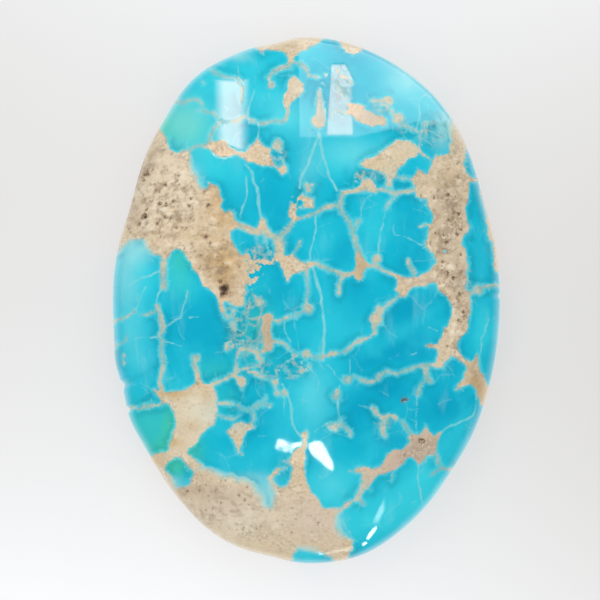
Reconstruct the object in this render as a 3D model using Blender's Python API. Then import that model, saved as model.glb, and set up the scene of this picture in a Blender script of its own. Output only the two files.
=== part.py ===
"""A polished oval cabochon of turquoise, crossed by seams and patches of its pale host rock.

It is one solid stone. The back is sawn flat and rests at z = 0. A bevel leads out from it to a
thin girdle, and the face rises from the girdle as a low dome. The host rock is softer than the
turquoise, so the polish has left it lower, uneven and pitted wherever it reaches the surface.
+Y is the long way of the oval, +Z leaves the dome, and the origin is on the flat back, under the
middle of the oval.
"""
import math

import bmesh
import bpy
from mathutils import Vector, noise

MM = 0.001

# Driving sizes
LENGTH = 40.0 * MM
WIDTH = 29.5 * MM
HEIGHT = 8.5 * MM
GIRDLE_TOP = 2.2 * MM
GIRDLE_FOOT = 1.6 * MM
GIRDLE_LEAN = 0.08 * MM
BEVEL_MIDDLE = 0.55 * MM
BEVEL_MIDDLE_INSET = 0.35 * MM
BACK_INSET = 0.8 * MM

# Dome: one power keeps its middle full, the other sets how steeply it meets the girdle
DOME_FULLNESS = 2.2
DOME_SHOULDER = 1.9

# Mesh: cells across the face, and how strongly its rings crowd towards the girdle
FACE_CELLS = 62
RIM_CROWDING = 0.7

# The oval was ground by hand, so it swells past a true ellipse (+) or falls short of it (-).
# Each entry: bearing and spread in degrees, anticlockwise from +X, and rise in millimetres
SWELLS = (
    (28.0, 8.0, -0.20),
    (55.0, 14.0, 0.36),
    (97.5, 4.0, -0.22),
    (117.0, 9.0, 0.45),
    (152.0, 12.0, -0.42),
    (198.0, 6.0, 0.20),
    (214.0, 6.5, 0.26),
    (248.0, 7.0, 0.12),
    (262.0, 5.0, -0.18),
    (283.0, 8.0, 0.20),
    (310.0, 8.0, -0.15),
)

# Chips in the girdle: bearing and half width in degrees, and depth in millimetres
CHIPS = (
    (1.2, 0.9, 0.14),
    (204.8, 1.6, 0.24),
    (211.5, 0.9, 0.24),
)

# Patches where the host rock reaches the face, as strokes of (x, y, half width) in millimetres
HOST_STROKES = {
    "west shoulder": ((-11.2, 12.2, 0.8), (-11.2, 9.8, 2.4), (-10.6, 6.8, 3.2), (-8.2, 5.2, 2.4),
                      (-6.0, 3.6, 1.6), (-3.6, 2.4, 0.9)),
    "west rim": ((-13.6, 9.0, 1.0), (-13.8, 5.4, 1.2)),
    "west pocket": ((-8.2, 3.0, 1.2), (-6.4, 0.9, 1.0)),
    "east band": ((11.5, 13.0, 0.7), (11.2, 11.2, 0.7), (10.7, 9.4, 1.4), (10.6, 7.4, 1.4),
                  (10.7, 5.2, 1.3), (11.0, 3.2, 1.2), (10.9, 1.2, 1.3), (11.7, -0.8, 0.8),
                  (11.0, -2.6, 0.8), (10.7, -4.0, 0.7), (11.9, -5.3, 0.6), (13.4, -6.8, 0.8)),
    "east spur": ((10.0, 9.8, 0.9), (8.7, 8.8, 0.7)),
    "east foot": ((10.0, 1.7, 0.7), (8.3, 1.4, 0.4), (7.0, 1.3, 0.4)),
    "heel": ((-11.2, -7.3, 0.4), (-9.4, -7.4, 0.6), (-8.2, -7.4, 1.2), (-8.4, -8.8, 1.5),
             (-9.0, -10.3, 1.1), (-10.2, -11.9, 0.7), (-11.6, -13.3, 0.9)),
    "apron": ((-9.8, -15.4, 1.1), (-7.6, -15.4, 2.0), (-5.2, -16.4, 2.5), (-2.4, -17.5, 2.1),
              (-0.2, -17.1, 1.9), (1.8, -18.0, 1.0), (2.8, -19.0, 0.7)),
    "apron spur": ((-0.6, -15.6, 1.0), (-0.6, -12.8, 0.5), (-0.4, -10.6, 0.3)),
    "south-east seam": ((4.6, -14.6, 0.3), (5.0, -13.0, 0.4), (6.6, -12.2, 0.65), (8.0, -11.4, 0.6),
                        (9.2, -10.9, 0.85)),
    "north-west saddle": ((-7.1, 11.7, 0.35), (-5.4, 11.2, 0.35), (-3.7, 11.1, 0.6), (-2.2, 10.4, 0.4)),
    "north-east saddle": ((4.3, 10.2, 0.3), (5.9, 10.5, 0.5), (7.5, 11.5, 0.5)),
    "north cap": ((-2.8, 19.4, 0.5), (-0.6, 19.6, 0.8), (0.9, 19.9, 0.4)),
    "middle seam": ((-5.3, 5.6, 0.3), (-2.2, 4.7, 0.35), (-2.0, 3.0, 0.6), (-0.2, 2.6, 0.35)),
}

# How the polish left the host rock: its depth, the width and raggedness of its edge, and its lumps,
# each with its pitch. Edges and pitches are in millimetres
HOST_RECESS = 0.20 * MM
EDGE_WIDTH = 1.1
EDGE_RAGGEDNESS = 0.5
EDGE_PITCH = 1.1
HOST_LUMPS = 0.16 * MM
LUMP_PITCH = 1.3
FINE_LUMPS = 0.07 * MM
FINE_PITCH = 0.7

# The largest pits: their depth, and each one's x, y and radius in millimetres
PIT_DEPTH = 0.38 * MM
PITS = (
    (-6.2, 0.8, 0.75), (-12.2, 6.4, 0.8), (-12.1, 9.6, 0.7), (-9.6, 5.5, 0.7), (-10.6, 7.3, 0.6),
    (-7.6, 4.7, 0.6), (10.7, 8.0, 0.7), (11.5, 6.5, 0.7), (10.4, 4.6, 0.6), (11.0, 1.8, 0.75),
    (11.9, -1.1, 0.6), (7.4, -7.5, 0.55), (-8.2, -6.5, 0.6), (-6.6, -15.9, 0.7), (-3.0, -17.7, 0.6),
)

# The heart of the stone, towards which its face is worn: a share of each place's x and y, and a height
HEART_SHARE = 0.5
HEART_HEIGHT = 1.0 * MM

TURQUOISE = (0.016, 0.479, 0.672, 1.0)
TURQUOISE_ROUGHNESS = 0.18
CREASE = 40.0


def remove_everything():
    """Empties the scene that the script starts in."""
    for thing in list(bpy.data.objects):
        bpy.data.objects.remove(thing, do_unlink=True)


def turn_between(bearing, other):
    """The smallest turn between two bearings, in degrees."""
    return (bearing - other + 180.0) % 360.0 - 180.0


def outline_point(angle):
    """A point of the girdle's outline, seen from above, for an angle round the oval in radians."""
    x = 0.5 * WIDTH * math.cos(angle)
    y = 0.5 * LENGTH * math.sin(angle)
    bearing = math.degrees(math.atan2(y, x))
    rise = 0.0
    for middle, spread, height in SWELLS:
        rise += height * MM * math.exp(-((turn_between(bearing, middle) / spread) ** 2))
    for middle, half_width, depth in CHIPS:
        off = abs(turn_between(bearing, middle)) / half_width
        rise -= depth * MM * max(0.0, 1.0 - off)
    reach = math.hypot(x, y)
    return x * (1.0 + rise / reach), y * (1.0 + rise / reach)


def square_to_disc(across, along):
    """Maps a point of the square from -1 to 1 to the unit disc, squares becoming rings."""
    ring = max(abs(across), abs(along))
    if ring == 0.0:
        return 0.0, 0.0
    if abs(across) >= abs(along):
        angle = 0.25 * math.pi * along / across
        if across < 0.0:
            angle += math.pi
    else:
        angle = 0.5 * math.pi - 0.25 * math.pi * across / along
        if along < 0.0:
            angle += math.pi
    radius = (1.0 - RIM_CROWDING) * ring + RIM_CROWDING * math.sin(0.5 * math.pi * ring)
    return radius * math.cos(angle), radius * math.sin(angle)


def dome_height(radius):
    """The face's height over the flat back, at a share of the way out to the girdle."""
    fall = (1.0 - min(radius, 1.0) ** DOME_FULLNESS) ** (1.0 / DOME_SHOULDER)
    return GIRDLE_TOP + (HEIGHT - GIRDLE_TOP) * fall


def inside_stroke(x, y, stroke):
    """How far a place in millimetres lies inside a stroke's edge; negative outside it."""
    best = -math.inf
    for (x0, y0, half0), (x1, y1, half1) in zip(stroke, stroke[1:]):
        run_x, run_y = x1 - x0, y1 - y0
        share = ((x - x0) * run_x + (y - y0) * run_y) / (run_x ** 2 + run_y ** 2)
        share = min(max(share, 0.0), 1.0)
        off = math.hypot(x - x0 - share * run_x, y - y0 - share * run_y)
        best = max(best, half0 + share * (half1 - half0) - off)
    return best


def smooth_step(value):
    """Rises smoothly from 0 to 1 while the value does."""
    value = min(max(value, 0.0), 1.0)
    return value * value * (3.0 - 2.0 * value)


def wear(x, y, z):
    """How deep the polish and the pits have gone at a place of the face."""
    place = Vector((x, y, z)) / MM
    ragged = EDGE_RAGGEDNESS * noise.noise(place / EDGE_PITCH)
    host = max(inside_stroke(place.x, place.y, stroke) for stroke in HOST_STROKES.values())
    share = smooth_step(0.5 + (host + ragged) / EDGE_WIDTH)
    lumps = HOST_LUMPS * noise.noise(place / LUMP_PITCH) + FINE_LUMPS * noise.noise(place / FINE_PITCH)
    depth = share * (HOST_RECESS + lumps)
    for pit_x, pit_y, radius in PITS:
        off = math.hypot(place.x - pit_x, place.y - pit_y) / radius
        depth += PIT_DEPTH * smooth_step(1.0 - off)
    return depth


def drum(face_cells, wall_rings):
    """A unit drum: a gridded disc at z = 0, rings of wall at whole steps below it, and a flat end."""
    body = bmesh.new()
    bmesh.ops.create_grid(body, x_segments=face_cells, y_segments=face_cells, size=1.0)
    for vertex in body.verts:
        vertex.co.x, vertex.co.y = square_to_disc(vertex.co.x, vertex.co.y)
    edge = [rim for rim in body.edges if rim.is_boundary]
    for _ in range(wall_rings):
        made = bmesh.ops.extrude_edge_only(body, edges=edge)["geom"]
        for item in made:
            if isinstance(item, bmesh.types.BMVert):
                item.co.z -= 1.0
        edge = [item for item in made if isinstance(item, bmesh.types.BMEdge) and item.is_boundary]
    bmesh.ops.holes_fill(body, edges=edge, sides=0)
    bmesh.ops.triangulate(body, faces=body.faces[:])
    bmesh.ops.recalc_face_normals(body, faces=body.faces[:])
    return body


def stone_place(place, wall_levels):
    """Where a point of the unit drum lies on the stone."""
    radius = math.hypot(place.x, place.y)
    rim_x, rim_y = outline_point(math.atan2(place.y, place.x))
    level = round(-place.z)
    if level == 0:
        x, y, z = rim_x * radius, rim_y * radius, dome_height(radius)
    else:
        z, inset = wall_levels[level - 1]
        share = 1.0 - inset / math.hypot(rim_x, rim_y)
        x, y = rim_x * share, rim_y * share
    if z == 0.0:
        return Vector((x, y, z))
    on_stone = Vector((x, y, z))
    heart = Vector((x * HEART_SHARE, y * HEART_SHARE, HEART_HEIGHT))
    return on_stone + (heart - on_stone).normalized() * wear(x, y, z)


def fit_to_size(body):
    """Brings the worn stone to its length, width and height, with the oval's middle at the origin."""
    for axis, size in enumerate((WIDTH, LENGTH, HEIGHT)):
        low = min(vertex.co[axis] for vertex in body.verts)
        high = max(vertex.co[axis] for vertex in body.verts)
        middle = 0.0 if axis == 2 else 0.5 * (low + high)
        for vertex in body.verts:
            vertex.co[axis] = (vertex.co[axis] - middle) * size / (high - low)


def turquoise_finish():
    """The polished turquoise of the whole stone."""
    finish = bpy.data.materials.new("turquoise")
    finish.use_nodes = True
    shader = finish.node_tree.nodes["Principled BSDF"]
    shader.inputs["Base Color"].default_value = TURQUOISE
    shader.inputs["Roughness"].default_value = TURQUOISE_ROUGHNESS
    shader.inputs["Metallic"].default_value = 0.0
    finish.diffuse_color = TURQUOISE
    return finish


def make_stone(collection):
    """The whole cabochon, worn and sized, as one object."""
    wall_levels = (
        (GIRDLE_FOOT, GIRDLE_LEAN),
        (BEVEL_MIDDLE, BEVEL_MIDDLE_INSET),
        (0.0, BACK_INSET),
    )
    body = drum(FACE_CELLS, len(wall_levels))
    for vertex in body.verts:
        vertex.co = stone_place(vertex.co, wall_levels)
    fit_to_size(body)
    mesh = bpy.data.meshes.new("turquoise_stone")
    body.to_mesh(mesh)
    body.free()
    mesh.shade_smooth()
    mesh.set_sharp_from_angle(angle=math.radians(CREASE))
    mesh.materials.append(turquoise_finish())
    stone = bpy.data.objects.new("turquoise_stone", mesh)
    collection.objects.link(stone)
    return stone


def main():
    """Builds the cabochon in a collection of its own."""
    remove_everything()
    collection = bpy.data.collections.new("turquoise_cabochon")
    bpy.context.scene.collection.children.link(collection)
    make_stone(collection)


main()
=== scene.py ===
"""Dresses a polished oval cabochon: sky-blue turquoise in pale, pitted host rock, on a sawn back.

The stone is one piece. A plain drum is cut to the cabochon's form, the places where host rock and
pale threads reach its face are worked out as distances over its surface, and then the polish wears
the softer rock down and opens its pits. Places on the face are in millimetres, seen from above:
+x is to the right, +y is up the long way of the oval, and the oval's middle is at 0, 0.
"""
import logging
import math
from dataclasses import dataclass, field
from enum import Enum

import bpy
import numpy as np
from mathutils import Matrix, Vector, noise


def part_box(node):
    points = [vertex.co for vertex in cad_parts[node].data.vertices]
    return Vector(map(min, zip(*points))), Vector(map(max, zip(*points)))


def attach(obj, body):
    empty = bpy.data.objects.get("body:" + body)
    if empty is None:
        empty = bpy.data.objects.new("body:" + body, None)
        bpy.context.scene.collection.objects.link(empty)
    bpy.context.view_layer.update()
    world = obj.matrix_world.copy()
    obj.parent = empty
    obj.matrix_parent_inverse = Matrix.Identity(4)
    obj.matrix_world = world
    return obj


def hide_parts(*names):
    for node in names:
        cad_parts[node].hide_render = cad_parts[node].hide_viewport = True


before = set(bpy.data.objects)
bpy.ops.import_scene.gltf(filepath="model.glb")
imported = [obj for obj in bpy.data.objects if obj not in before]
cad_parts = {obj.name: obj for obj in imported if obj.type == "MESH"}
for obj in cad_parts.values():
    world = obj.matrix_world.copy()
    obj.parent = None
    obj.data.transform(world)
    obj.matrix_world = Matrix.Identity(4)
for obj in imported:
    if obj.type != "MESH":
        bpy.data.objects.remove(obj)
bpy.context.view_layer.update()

LOG = logging.getLogger("cabochon")
MM = 0.001
# The level of the unit drum above which its corners belong to the face
ON_FACE = 0.999
WHITE = (1.0, 1.0, 1.0, 1.0)
BLACK = (0.0, 0.0, 0.0, 1.0)
# The windows' light, a little warm
WINDOW_TINT = (1.0, 0.6, 0.45, 1.0)

# Where host rock reaches the face, as closed outlines. Points past the rim let a patch run over it
HOST_PATCHES = {
    "west shoulder": (
        (-11.6, 13.4), (-11.1, 13.05), (-10.75, 12.6), (-10.5, 12.0), (-10.45, 11.45), (-9.9, 11.2),
        (-9.2, 11.2), (-8.75, 11.4), (-8.8, 10.8), (-8.85, 10.2), (-8.6, 9.7), (-8.2, 9.2), (-8.0, 8.5),
        (-7.6, 8.4), (-7.3, 8.8), (-6.9, 8.7), (-6.5, 8.3), (-6.4, 7.6), (-6.6, 7.0), (-6.3, 6.6),
        (-5.8, 6.8), (-5.5, 6.5), (-5.4, 6.0), (-5.2, 5.8), (-5.3, 5.55), (-5.8, 5.2), (-5.7, 4.7),
        (-5.5, 4.2), (-5.1, 3.6), (-4.6, 3.5), (-3.9, 3.2), (-3.3, 3.0), (-2.9, 3.1), (-2.5, 2.9),
        (-2.9, 2.5), (-3.3, 2.1), (-3.6, 1.8), (-3.8, 1.4), (-4.1, 1.0), (-4.4, 0.8), (-4.7, 0.5),
        (-4.7, 0.0), (-4.9, -0.3), (-5.3, -0.4), (-6.0, -0.1), (-6.3, -0.1), (-6.5, -0.6), (-6.3, -1.2),
        (-6.0, -1.3), (-6.6, -0.2), (-6.7, 0.1), (-7.0, 0.5), (-7.4, 0.9), (-7.9, 1.1), (-8.0, 1.6),
        (-8.3, 2.1), (-8.7, 2.7), (-9.0, 3.1), (-9.2, 3.6), (-9.5, 3.9), (-9.9, 3.95), (-10.2, 3.7),
        (-10.5, 3.1), (-10.95, 3.3), (-11.3, 3.5), (-11.8, 3.6), (-12.1, 4.2), (-12.4, 4.6), (-12.9, 4.7),
        (-13.3, 4.6), (-13.6, 4.2), (-14.0, 4.1), (-14.2, 3.6), (-15.2, 3.6), (-15.2, 5.0), (-15.0, 8.0),
        (-14.2, 11.0), (-13.0, 13.2),
    ),
    "junction": (
        (-2.4, 3.3), (-1.6, 3.4), (-0.75, 3.3), (-0.5, 2.95), (-0.1, 2.8), (0.3, 3.0), (0.4, 2.55),
        (0.0, 2.35), (-0.4, 2.1), (-1.0, 2.0), (-1.25, 1.75), (-1.45, 1.35), (-1.65, 1.7), (-1.85, 2.3),
        (-2.05, 2.8), (-2.4, 2.9),
    ),
    "peak": ((-3.8, 5.3), (-3.55, 5.9), (-3.35, 6.25), (-3.05, 5.9), (-2.75, 5.2)),
    "middle blob": (
        (-1.15, 7.2), (-0.95, 7.85), (-0.5, 8.0), (0.1, 7.9), (0.5, 7.6), (0.5, 7.15), (0.25, 6.95),
        (-0.3, 6.9), (-0.7, 6.75), (-0.75, 6.35), (-0.7, 6.15), (-1.0, 6.0), (-1.35, 6.3), (-1.25, 6.75),
    ),
    "east node": (
        (3.85, 3.5), (4.15, 3.35), (4.5, 3.05), (4.75, 2.75), (4.45, 2.45), (4.25, 2.1), (4.2, 1.7),
        (3.95, 1.45), (3.7, 1.75), (3.65, 2.2), (3.75, 2.8),
    ),
    "east band": (
        (11.3, 14.4), (10.9, 13.2), (10.9, 12.6), (11.0, 12.0), (10.85, 11.3), (10.5, 10.95), (9.8, 11.05),
        (9.55, 10.7), (9.45, 10.1), (9.2, 9.5), (8.85, 9.7), (8.5, 9.8), (8.1, 9.4), (8.0, 9.0),
        (8.25, 8.5), (8.4, 7.9), (8.7, 7.7), (9.1, 7.75), (9.25, 7.2), (9.5, 6.7), (9.6, 6.2), (9.5, 5.8),
        (9.2, 5.7), (9.35, 5.2), (9.2, 4.7), (9.0, 4.35), (9.2, 3.9), (9.6, 3.6), (9.85, 3.1), (9.8, 2.7),
        (9.4, 2.35), (9.0, 2.05), (8.5, 1.8), (7.9, 1.7), (7.3, 1.75), (6.8, 1.9), (6.5, 1.9), (6.8, 1.5),
        (6.9, 1.1), (6.8, 0.7), (7.1, 0.45), (7.4, 0.3), (7.65, 0.6), (8.0, 0.95), (8.6, 1.1), (9.1, 1.0),
        (9.4, 1.25), (9.7, 1.4), (10.0, 1.2), (10.2, 0.7), (10.6, 0.3), (10.95, -0.1), (11.1, -0.6),
        (11.0, -1.2), (10.75, -1.8), (10.45, -2.35), (10.15, -2.85), (9.9, -3.3), (9.5, -3.35),
        (9.1, -3.45), (9.6, -3.6), (9.95, -3.8), (10.0, -4.2), (9.8, -4.7), (9.5, -4.95), (9.9, -5.1),
        (10.35, -5.1), (10.6, -4.6), (11.0, -4.3), (11.4, -4.4), (11.8, -4.7), (12.1, -5.0), (12.2, -5.3),
        (12.0, -5.6), (12.0, -6.0), (11.6, -6.3), (11.4, -6.8), (11.9, -6.5), (12.3, -6.35), (12.7, -6.5),
        (12.9, -6.9), (13.0, -7.3), (13.2, -7.8), (13.5, -8.1), (14.2, -8.0), (14.4, -6.6), (13.75, -6.5),
        (13.5, -5.9), (13.25, -5.3), (13.1, -4.7), (12.95, -4.0), (12.75, -4.5), (12.5, -4.8),
        (12.0, -4.5), (11.6, -4.15), (11.4, -3.8), (11.4, -3.3), (11.6, -2.9), (12.0, -2.6),
        (12.25, -2.1), (12.3, -1.5), (12.4, -0.8), (12.45, 0.0), (12.3, 0.5), (12.1, 0.9), (12.15, 1.6),
        (12.2, 2.4), (12.2, 3.2), (12.1, 3.8), (11.8, 4.2), (11.7, 4.6), (11.95, 4.9), (12.3, 5.0),
        (12.4, 5.4), (12.3, 5.9), (12.1, 6.5), (12.0, 7.1), (12.3, 7.5), (12.35, 8.2), (12.3, 8.9),
        (12.6, 9.0), (13.8, 9.0), (13.8, 9.3), (12.5, 9.3), (12.1, 9.6), (12.0, 10.3), (12.1, 11.1),
        (12.2, 11.8), (12.8, 12.4),
    ),
    "east rim": (
        (13.2, 8.3), (13.5, 7.1), (13.7, 6.0), (13.8, 5.0), (13.95, 4.6), (14.2, 4.4), (14.3, 3.0),
        (14.4, 2.2), (15.2, 2.2), (15.0, 5.0), (14.2, 8.6),
    ),
    "heel": (
        (-11.6, -6.7), (-11.1, -6.9), (-10.4, -6.95), (-9.8, -6.85), (-9.2, -6.8), (-8.7, -6.5),
        (-8.35, -6.2), (-8.35, -5.7), (-8.1, -5.5), (-7.95, -6.1), (-7.6, -6.35), (-7.15, -6.35),
        (-6.9, -6.8), (-6.8, -7.4), (-6.8, -8.2), (-6.9, -8.9), (-7.1, -9.4), (-7.6, -9.8), (-8.0, -10.2),
        (-8.3, -10.7), (-8.8, -11.1), (-9.1, -11.5), (-8.7, -11.9), (-8.3, -12.2), (-7.9, -12.6),
        (-8.5, -13.0), (-8.8, -12.7), (-9.2, -12.3), (-9.45, -11.9), (-9.9, -11.85), (-10.3, -12.2),
        (-10.65, -12.5), (-10.7, -12.9), (-10.35, -13.4), (-10.1, -13.9), (-9.9, -14.3), (-10.9, -15.0),
        (-12.2, -13.2), (-12.6, -12.2), (-11.6, -11.8), (-11.2, -11.6), (-10.7, -11.5), (-10.4, -11.2),
        (-10.35, -10.7), (-10.1, -10.2), (-9.9, -9.7), (-9.85, -9.0), (-10.0, -8.4), (-10.4, -7.95),
        (-10.9, -7.8), (-11.2, -7.4),
    ),
    "apron": (
        (-11.0, -14.6), (-9.7, -14.25), (-8.9, -13.95), (-8.6, -13.4), (-8.4, -12.9), (-7.9, -12.75),
        (-7.3, -12.8), (-6.8, -13.1), (-6.3, -13.4), (-5.7, -13.3), (-5.2, -13.7), (-4.7, -13.6),
        (-4.2, -13.8), (-3.9, -14.5), (-3.4, -14.9), (-3.2, -15.6), (-2.7, -15.7), (-2.4, -15.2),
        (-2.35, -14.6), (-2.7, -14.1), (-2.9, -13.5), (-2.6, -13.1), (-2.3, -12.75), (-1.7, -12.65),
        (-1.6, -12.8), (-2.1, -13.0), (-2.45, -13.4), (-2.45, -13.9), (-2.1, -14.25), (-1.6, -14.15),
        (-1.2, -13.7), (-1.05, -13.2), (-1.0, -12.7), (-1.3, -12.3), (-1.15, -11.8), (-0.75, -11.35),
        (-0.3, -11.1), (-0.25, -10.6), (-0.3, -10.1), (-0.05, -9.9), (0.05, -10.4), (0.0, -11.0),
        (-0.1, -11.6), (-0.15, -12.4), (-0.1, -13.2), (0.05, -13.9), (0.25, -14.5), (0.8, -15.0),
        (1.1, -15.5), (1.3, -15.8), (1.9, -15.85), (2.5, -15.75), (2.9, -15.4), (3.3, -15.1), (3.7, -15.0),
        (3.4, -15.3), (2.9, -15.8), (2.4, -16.2), (2.15, -16.7), (2.25, -17.3), (2.6, -17.8),
        (3.1, -18.05), (3.5, -18.3), (3.5, -18.8), (3.3, -19.2), (2.9, -20.6), (1.9, -19.5), (1.2, -19.25),
        (0.6, -19.0), (0.0, -18.85), (-0.6, -18.75), (-0.95, -19.1), (-1.1, -19.6), (-1.2, -20.8),
        (-3.0, -20.6), (-6.0, -19.6), (-9.0, -17.4),
    ),
    "south-east seam": (
        (3.5, -12.95), (3.7, -12.7), (4.2, -12.6), (4.8, -12.7), (5.4, -12.7), (5.8, -12.5), (6.0, -12.0),
        (6.2, -11.6), (6.6, -11.4), (7.1, -11.4), (7.5, -11.15), (7.85, -10.8), (7.8, -10.35),
        (8.1, -10.1), (8.5, -10.2), (8.9, -10.0), (9.1, -9.5), (9.3, -10.1), (9.7, -10.3), (10.2, -10.05),
        (10.1, -10.4), (9.9, -10.8), (9.9, -11.5), (9.6, -11.8), (9.1, -11.85), (8.85, -12.2),
        (8.55, -12.4), (8.3, -12.1), (8.0, -11.9), (7.6, -11.95), (7.35, -12.3), (7.0, -12.6),
        (6.5, -12.95), (5.9, -13.1), (5.4, -13.3), (5.1, -13.6), (4.8, -14.0), (4.4, -14.4), (4.15, -14.9),
        (3.75, -15.2), (3.5, -15.0), (3.8, -14.7), (4.1, -14.2), (4.3, -13.6), (4.2, -13.1), (3.8, -13.1),
    ),
    "north-west saddle": (
        (-7.5, 11.65), (-7.2, 12.1), (-6.8, 11.95), (-6.4, 12.15), (-6.0, 12.0), (-5.75, 11.5),
        (-5.2, 11.3), (-4.6, 11.25), (-4.3, 11.6), (-4.0, 12.0), (-3.7, 12.35), (-3.45, 11.9),
        (-3.1, 11.55), (-2.75, 11.5), (-2.8, 11.1), (-2.6, 10.8), (-2.55, 10.4), (-2.4, 10.15),
        (-2.1, 9.75), (-1.85, 9.5), (-1.5, 9.65), (-1.5, 10.1), (-1.75, 10.5), (-2.0, 10.75),
        (-1.8, 10.3), (-2.1, 10.1), (-2.6, 10.15), (-3.3, 10.25), (-4.0, 10.45), (-4.4, 10.45),
        (-4.7, 10.8), (-5.3, 10.95), (-6.0, 10.85), (-6.5, 10.75), (-6.85, 11.0), (-7.1, 11.3),
    ),
    "north cap": (
        (-3.7, 19.1), (-3.4, 18.8), (-3.0, 19.0), (-2.4, 19.0), (-1.6, 18.8), (-1.4, 18.5), (-1.3, 18.0),
        (-1.05, 17.9), (-1.0, 18.2), (-0.8, 18.6), (-0.4, 18.9), (-0.1, 19.0), (0.3, 19.2), (0.8, 19.4),
        (1.2, 19.7), (1.2, 20.8), (-2.0, 20.8), (-3.8, 20.4),
    ),
    "north rim": (
        (2.1, 20.4), (2.7, 19.2), (3.0, 18.8), (3.5, 18.6), (4.0, 18.9), (4.3, 19.1), (5.2, 19.9),
    ),
    "north lens": (
        (-0.9, 17.0), (-0.5, 16.7), (-0.2, 16.4), (-0.3, 15.9), (-0.6, 15.5), (-1.0, 15.1), (-1.3, 14.7),
        (-1.5, 14.5), (-1.7, 14.9), (-1.7, 15.5), (-1.5, 16.0), (-1.4, 16.5), (-1.2, 16.9),
    ),
    "north finger": (
        (1.0, 16.1), (1.2, 15.6), (1.3, 15.0), (1.4, 14.2), (1.5, 13.6), (1.4, 13.2), (0.9, 13.0),
        (0.5, 13.3), (0.4, 13.8), (0.7, 14.3), (0.8, 15.0), (0.85, 15.6),
    ),
    "north-east lens": (
        (2.9, 14.8), (3.4, 15.0), (4.0, 14.8), (4.5, 14.4), (5.0, 14.2), (5.7, 14.0), (6.1, 13.6),
        (6.0, 13.2), (5.4, 13.25), (4.6, 13.2), (4.0, 13.5), (3.4, 13.9), (3.0, 14.2),
    ),
    "north-east saddle": (
        (4.0, 10.25), (4.4, 10.6), (5.0, 10.85), (5.5, 11.05), (5.9, 11.3), (6.3, 11.65), (6.8, 12.05),
        (7.4, 12.1), (8.0, 12.0), (8.4, 11.8), (8.45, 11.3), (8.3, 10.95), (7.8, 10.75), (7.4, 10.4),
        (7.1, 10.15), (6.85, 9.8), (6.6, 9.4), (6.45, 9.0), (6.5, 8.6), (6.1, 8.7), (6.1, 9.2),
        (5.9, 9.6), (5.5, 9.85), (5.0, 9.9), (4.5, 9.95),
    ),
    "north-east speckles": (
        (3.5, 9.2), (3.9, 9.4), (4.4, 9.3), (4.9, 9.1), (5.2, 8.6), (5.3, 8.2), (4.6, 8.4), (4.1, 8.4),
        (3.5, 8.5),
    ),
    "column": (
        (-3.3, -1.1), (-2.9, -0.95), (-2.5, -1.2), (-2.6, -1.7), (-2.7, -2.2), (-2.6, -2.9), (-2.5, -3.3),
        (-2.6, -3.8), (-3.2, -3.9), (-3.35, -3.4), (-3.3, -2.8), (-3.4, -2.2), (-3.3, -1.6), (-3.5, -1.3),
    ),
    "south-west island": (
        (-6.0, -9.95), (-5.5, -9.5), (-5.0, -9.25), (-4.5, -9.35), (-3.95, -9.5), (-4.5, -9.9),
        (-4.7, -10.4), (-4.95, -10.9), (-5.05, -11.4), (-4.8, -11.7), (-5.15, -11.6), (-5.3, -11.0),
        (-5.6, -10.5),
    ),
}

# Turquoise that shows through a patch: x, y and radius
WINDOWS = (
    (10.4, 11.5, 0.4), (-2.3, 10.45, 0.25), (3.8, 8.8, 0.25), (10.5, 3.7, 0.18), (-9.5, -13.1, 0.55),
    (-0.4, 7.35, 0.12),
)

# Beads of host rock: x, y and radius
BEADS = (
    (0.1, -0.6, 0.42), (-8.35, -4.4, 0.3), (6.2, 15.1, 0.35), (7.0, 13.8, 0.4), (9.1, 13.3, 0.3),
    (-0.85, -4.25, 0.3), (-0.05, -4.15, 0.35), (-0.2, -5.0, 0.3), (3.15, -6.0, 0.3), (2.3, -7.1, 0.33),
    (5.3, -1.4, 0.45), (5.5, -0.7, 0.3), (5.5, -5.8, 0.25), (-4.9, -6.1, 0.4), (-2.4, -6.2, 0.25),
    (-2.3, -7.0, 0.22), (-1.7, -7.0, 0.2), (1.9, -9.6, 0.22), (2.2, -9.6, 0.22), (2.6, -9.4, 0.25),
    (-2.7, 16.4, 0.3), (13.1, 0.75, 0.35), (5.25, 3.1, 0.3), (-7.8, 16.5, 0.12), (-2.2, 11.7, 0.35),
    (-3.6, -0.1, 0.36), (-5.0, -0.1, 0.25), (0.2, 8.4, 0.16), (0.5, 8.7, 0.13), (0.05, 8.7, 0.1),
)

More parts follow.
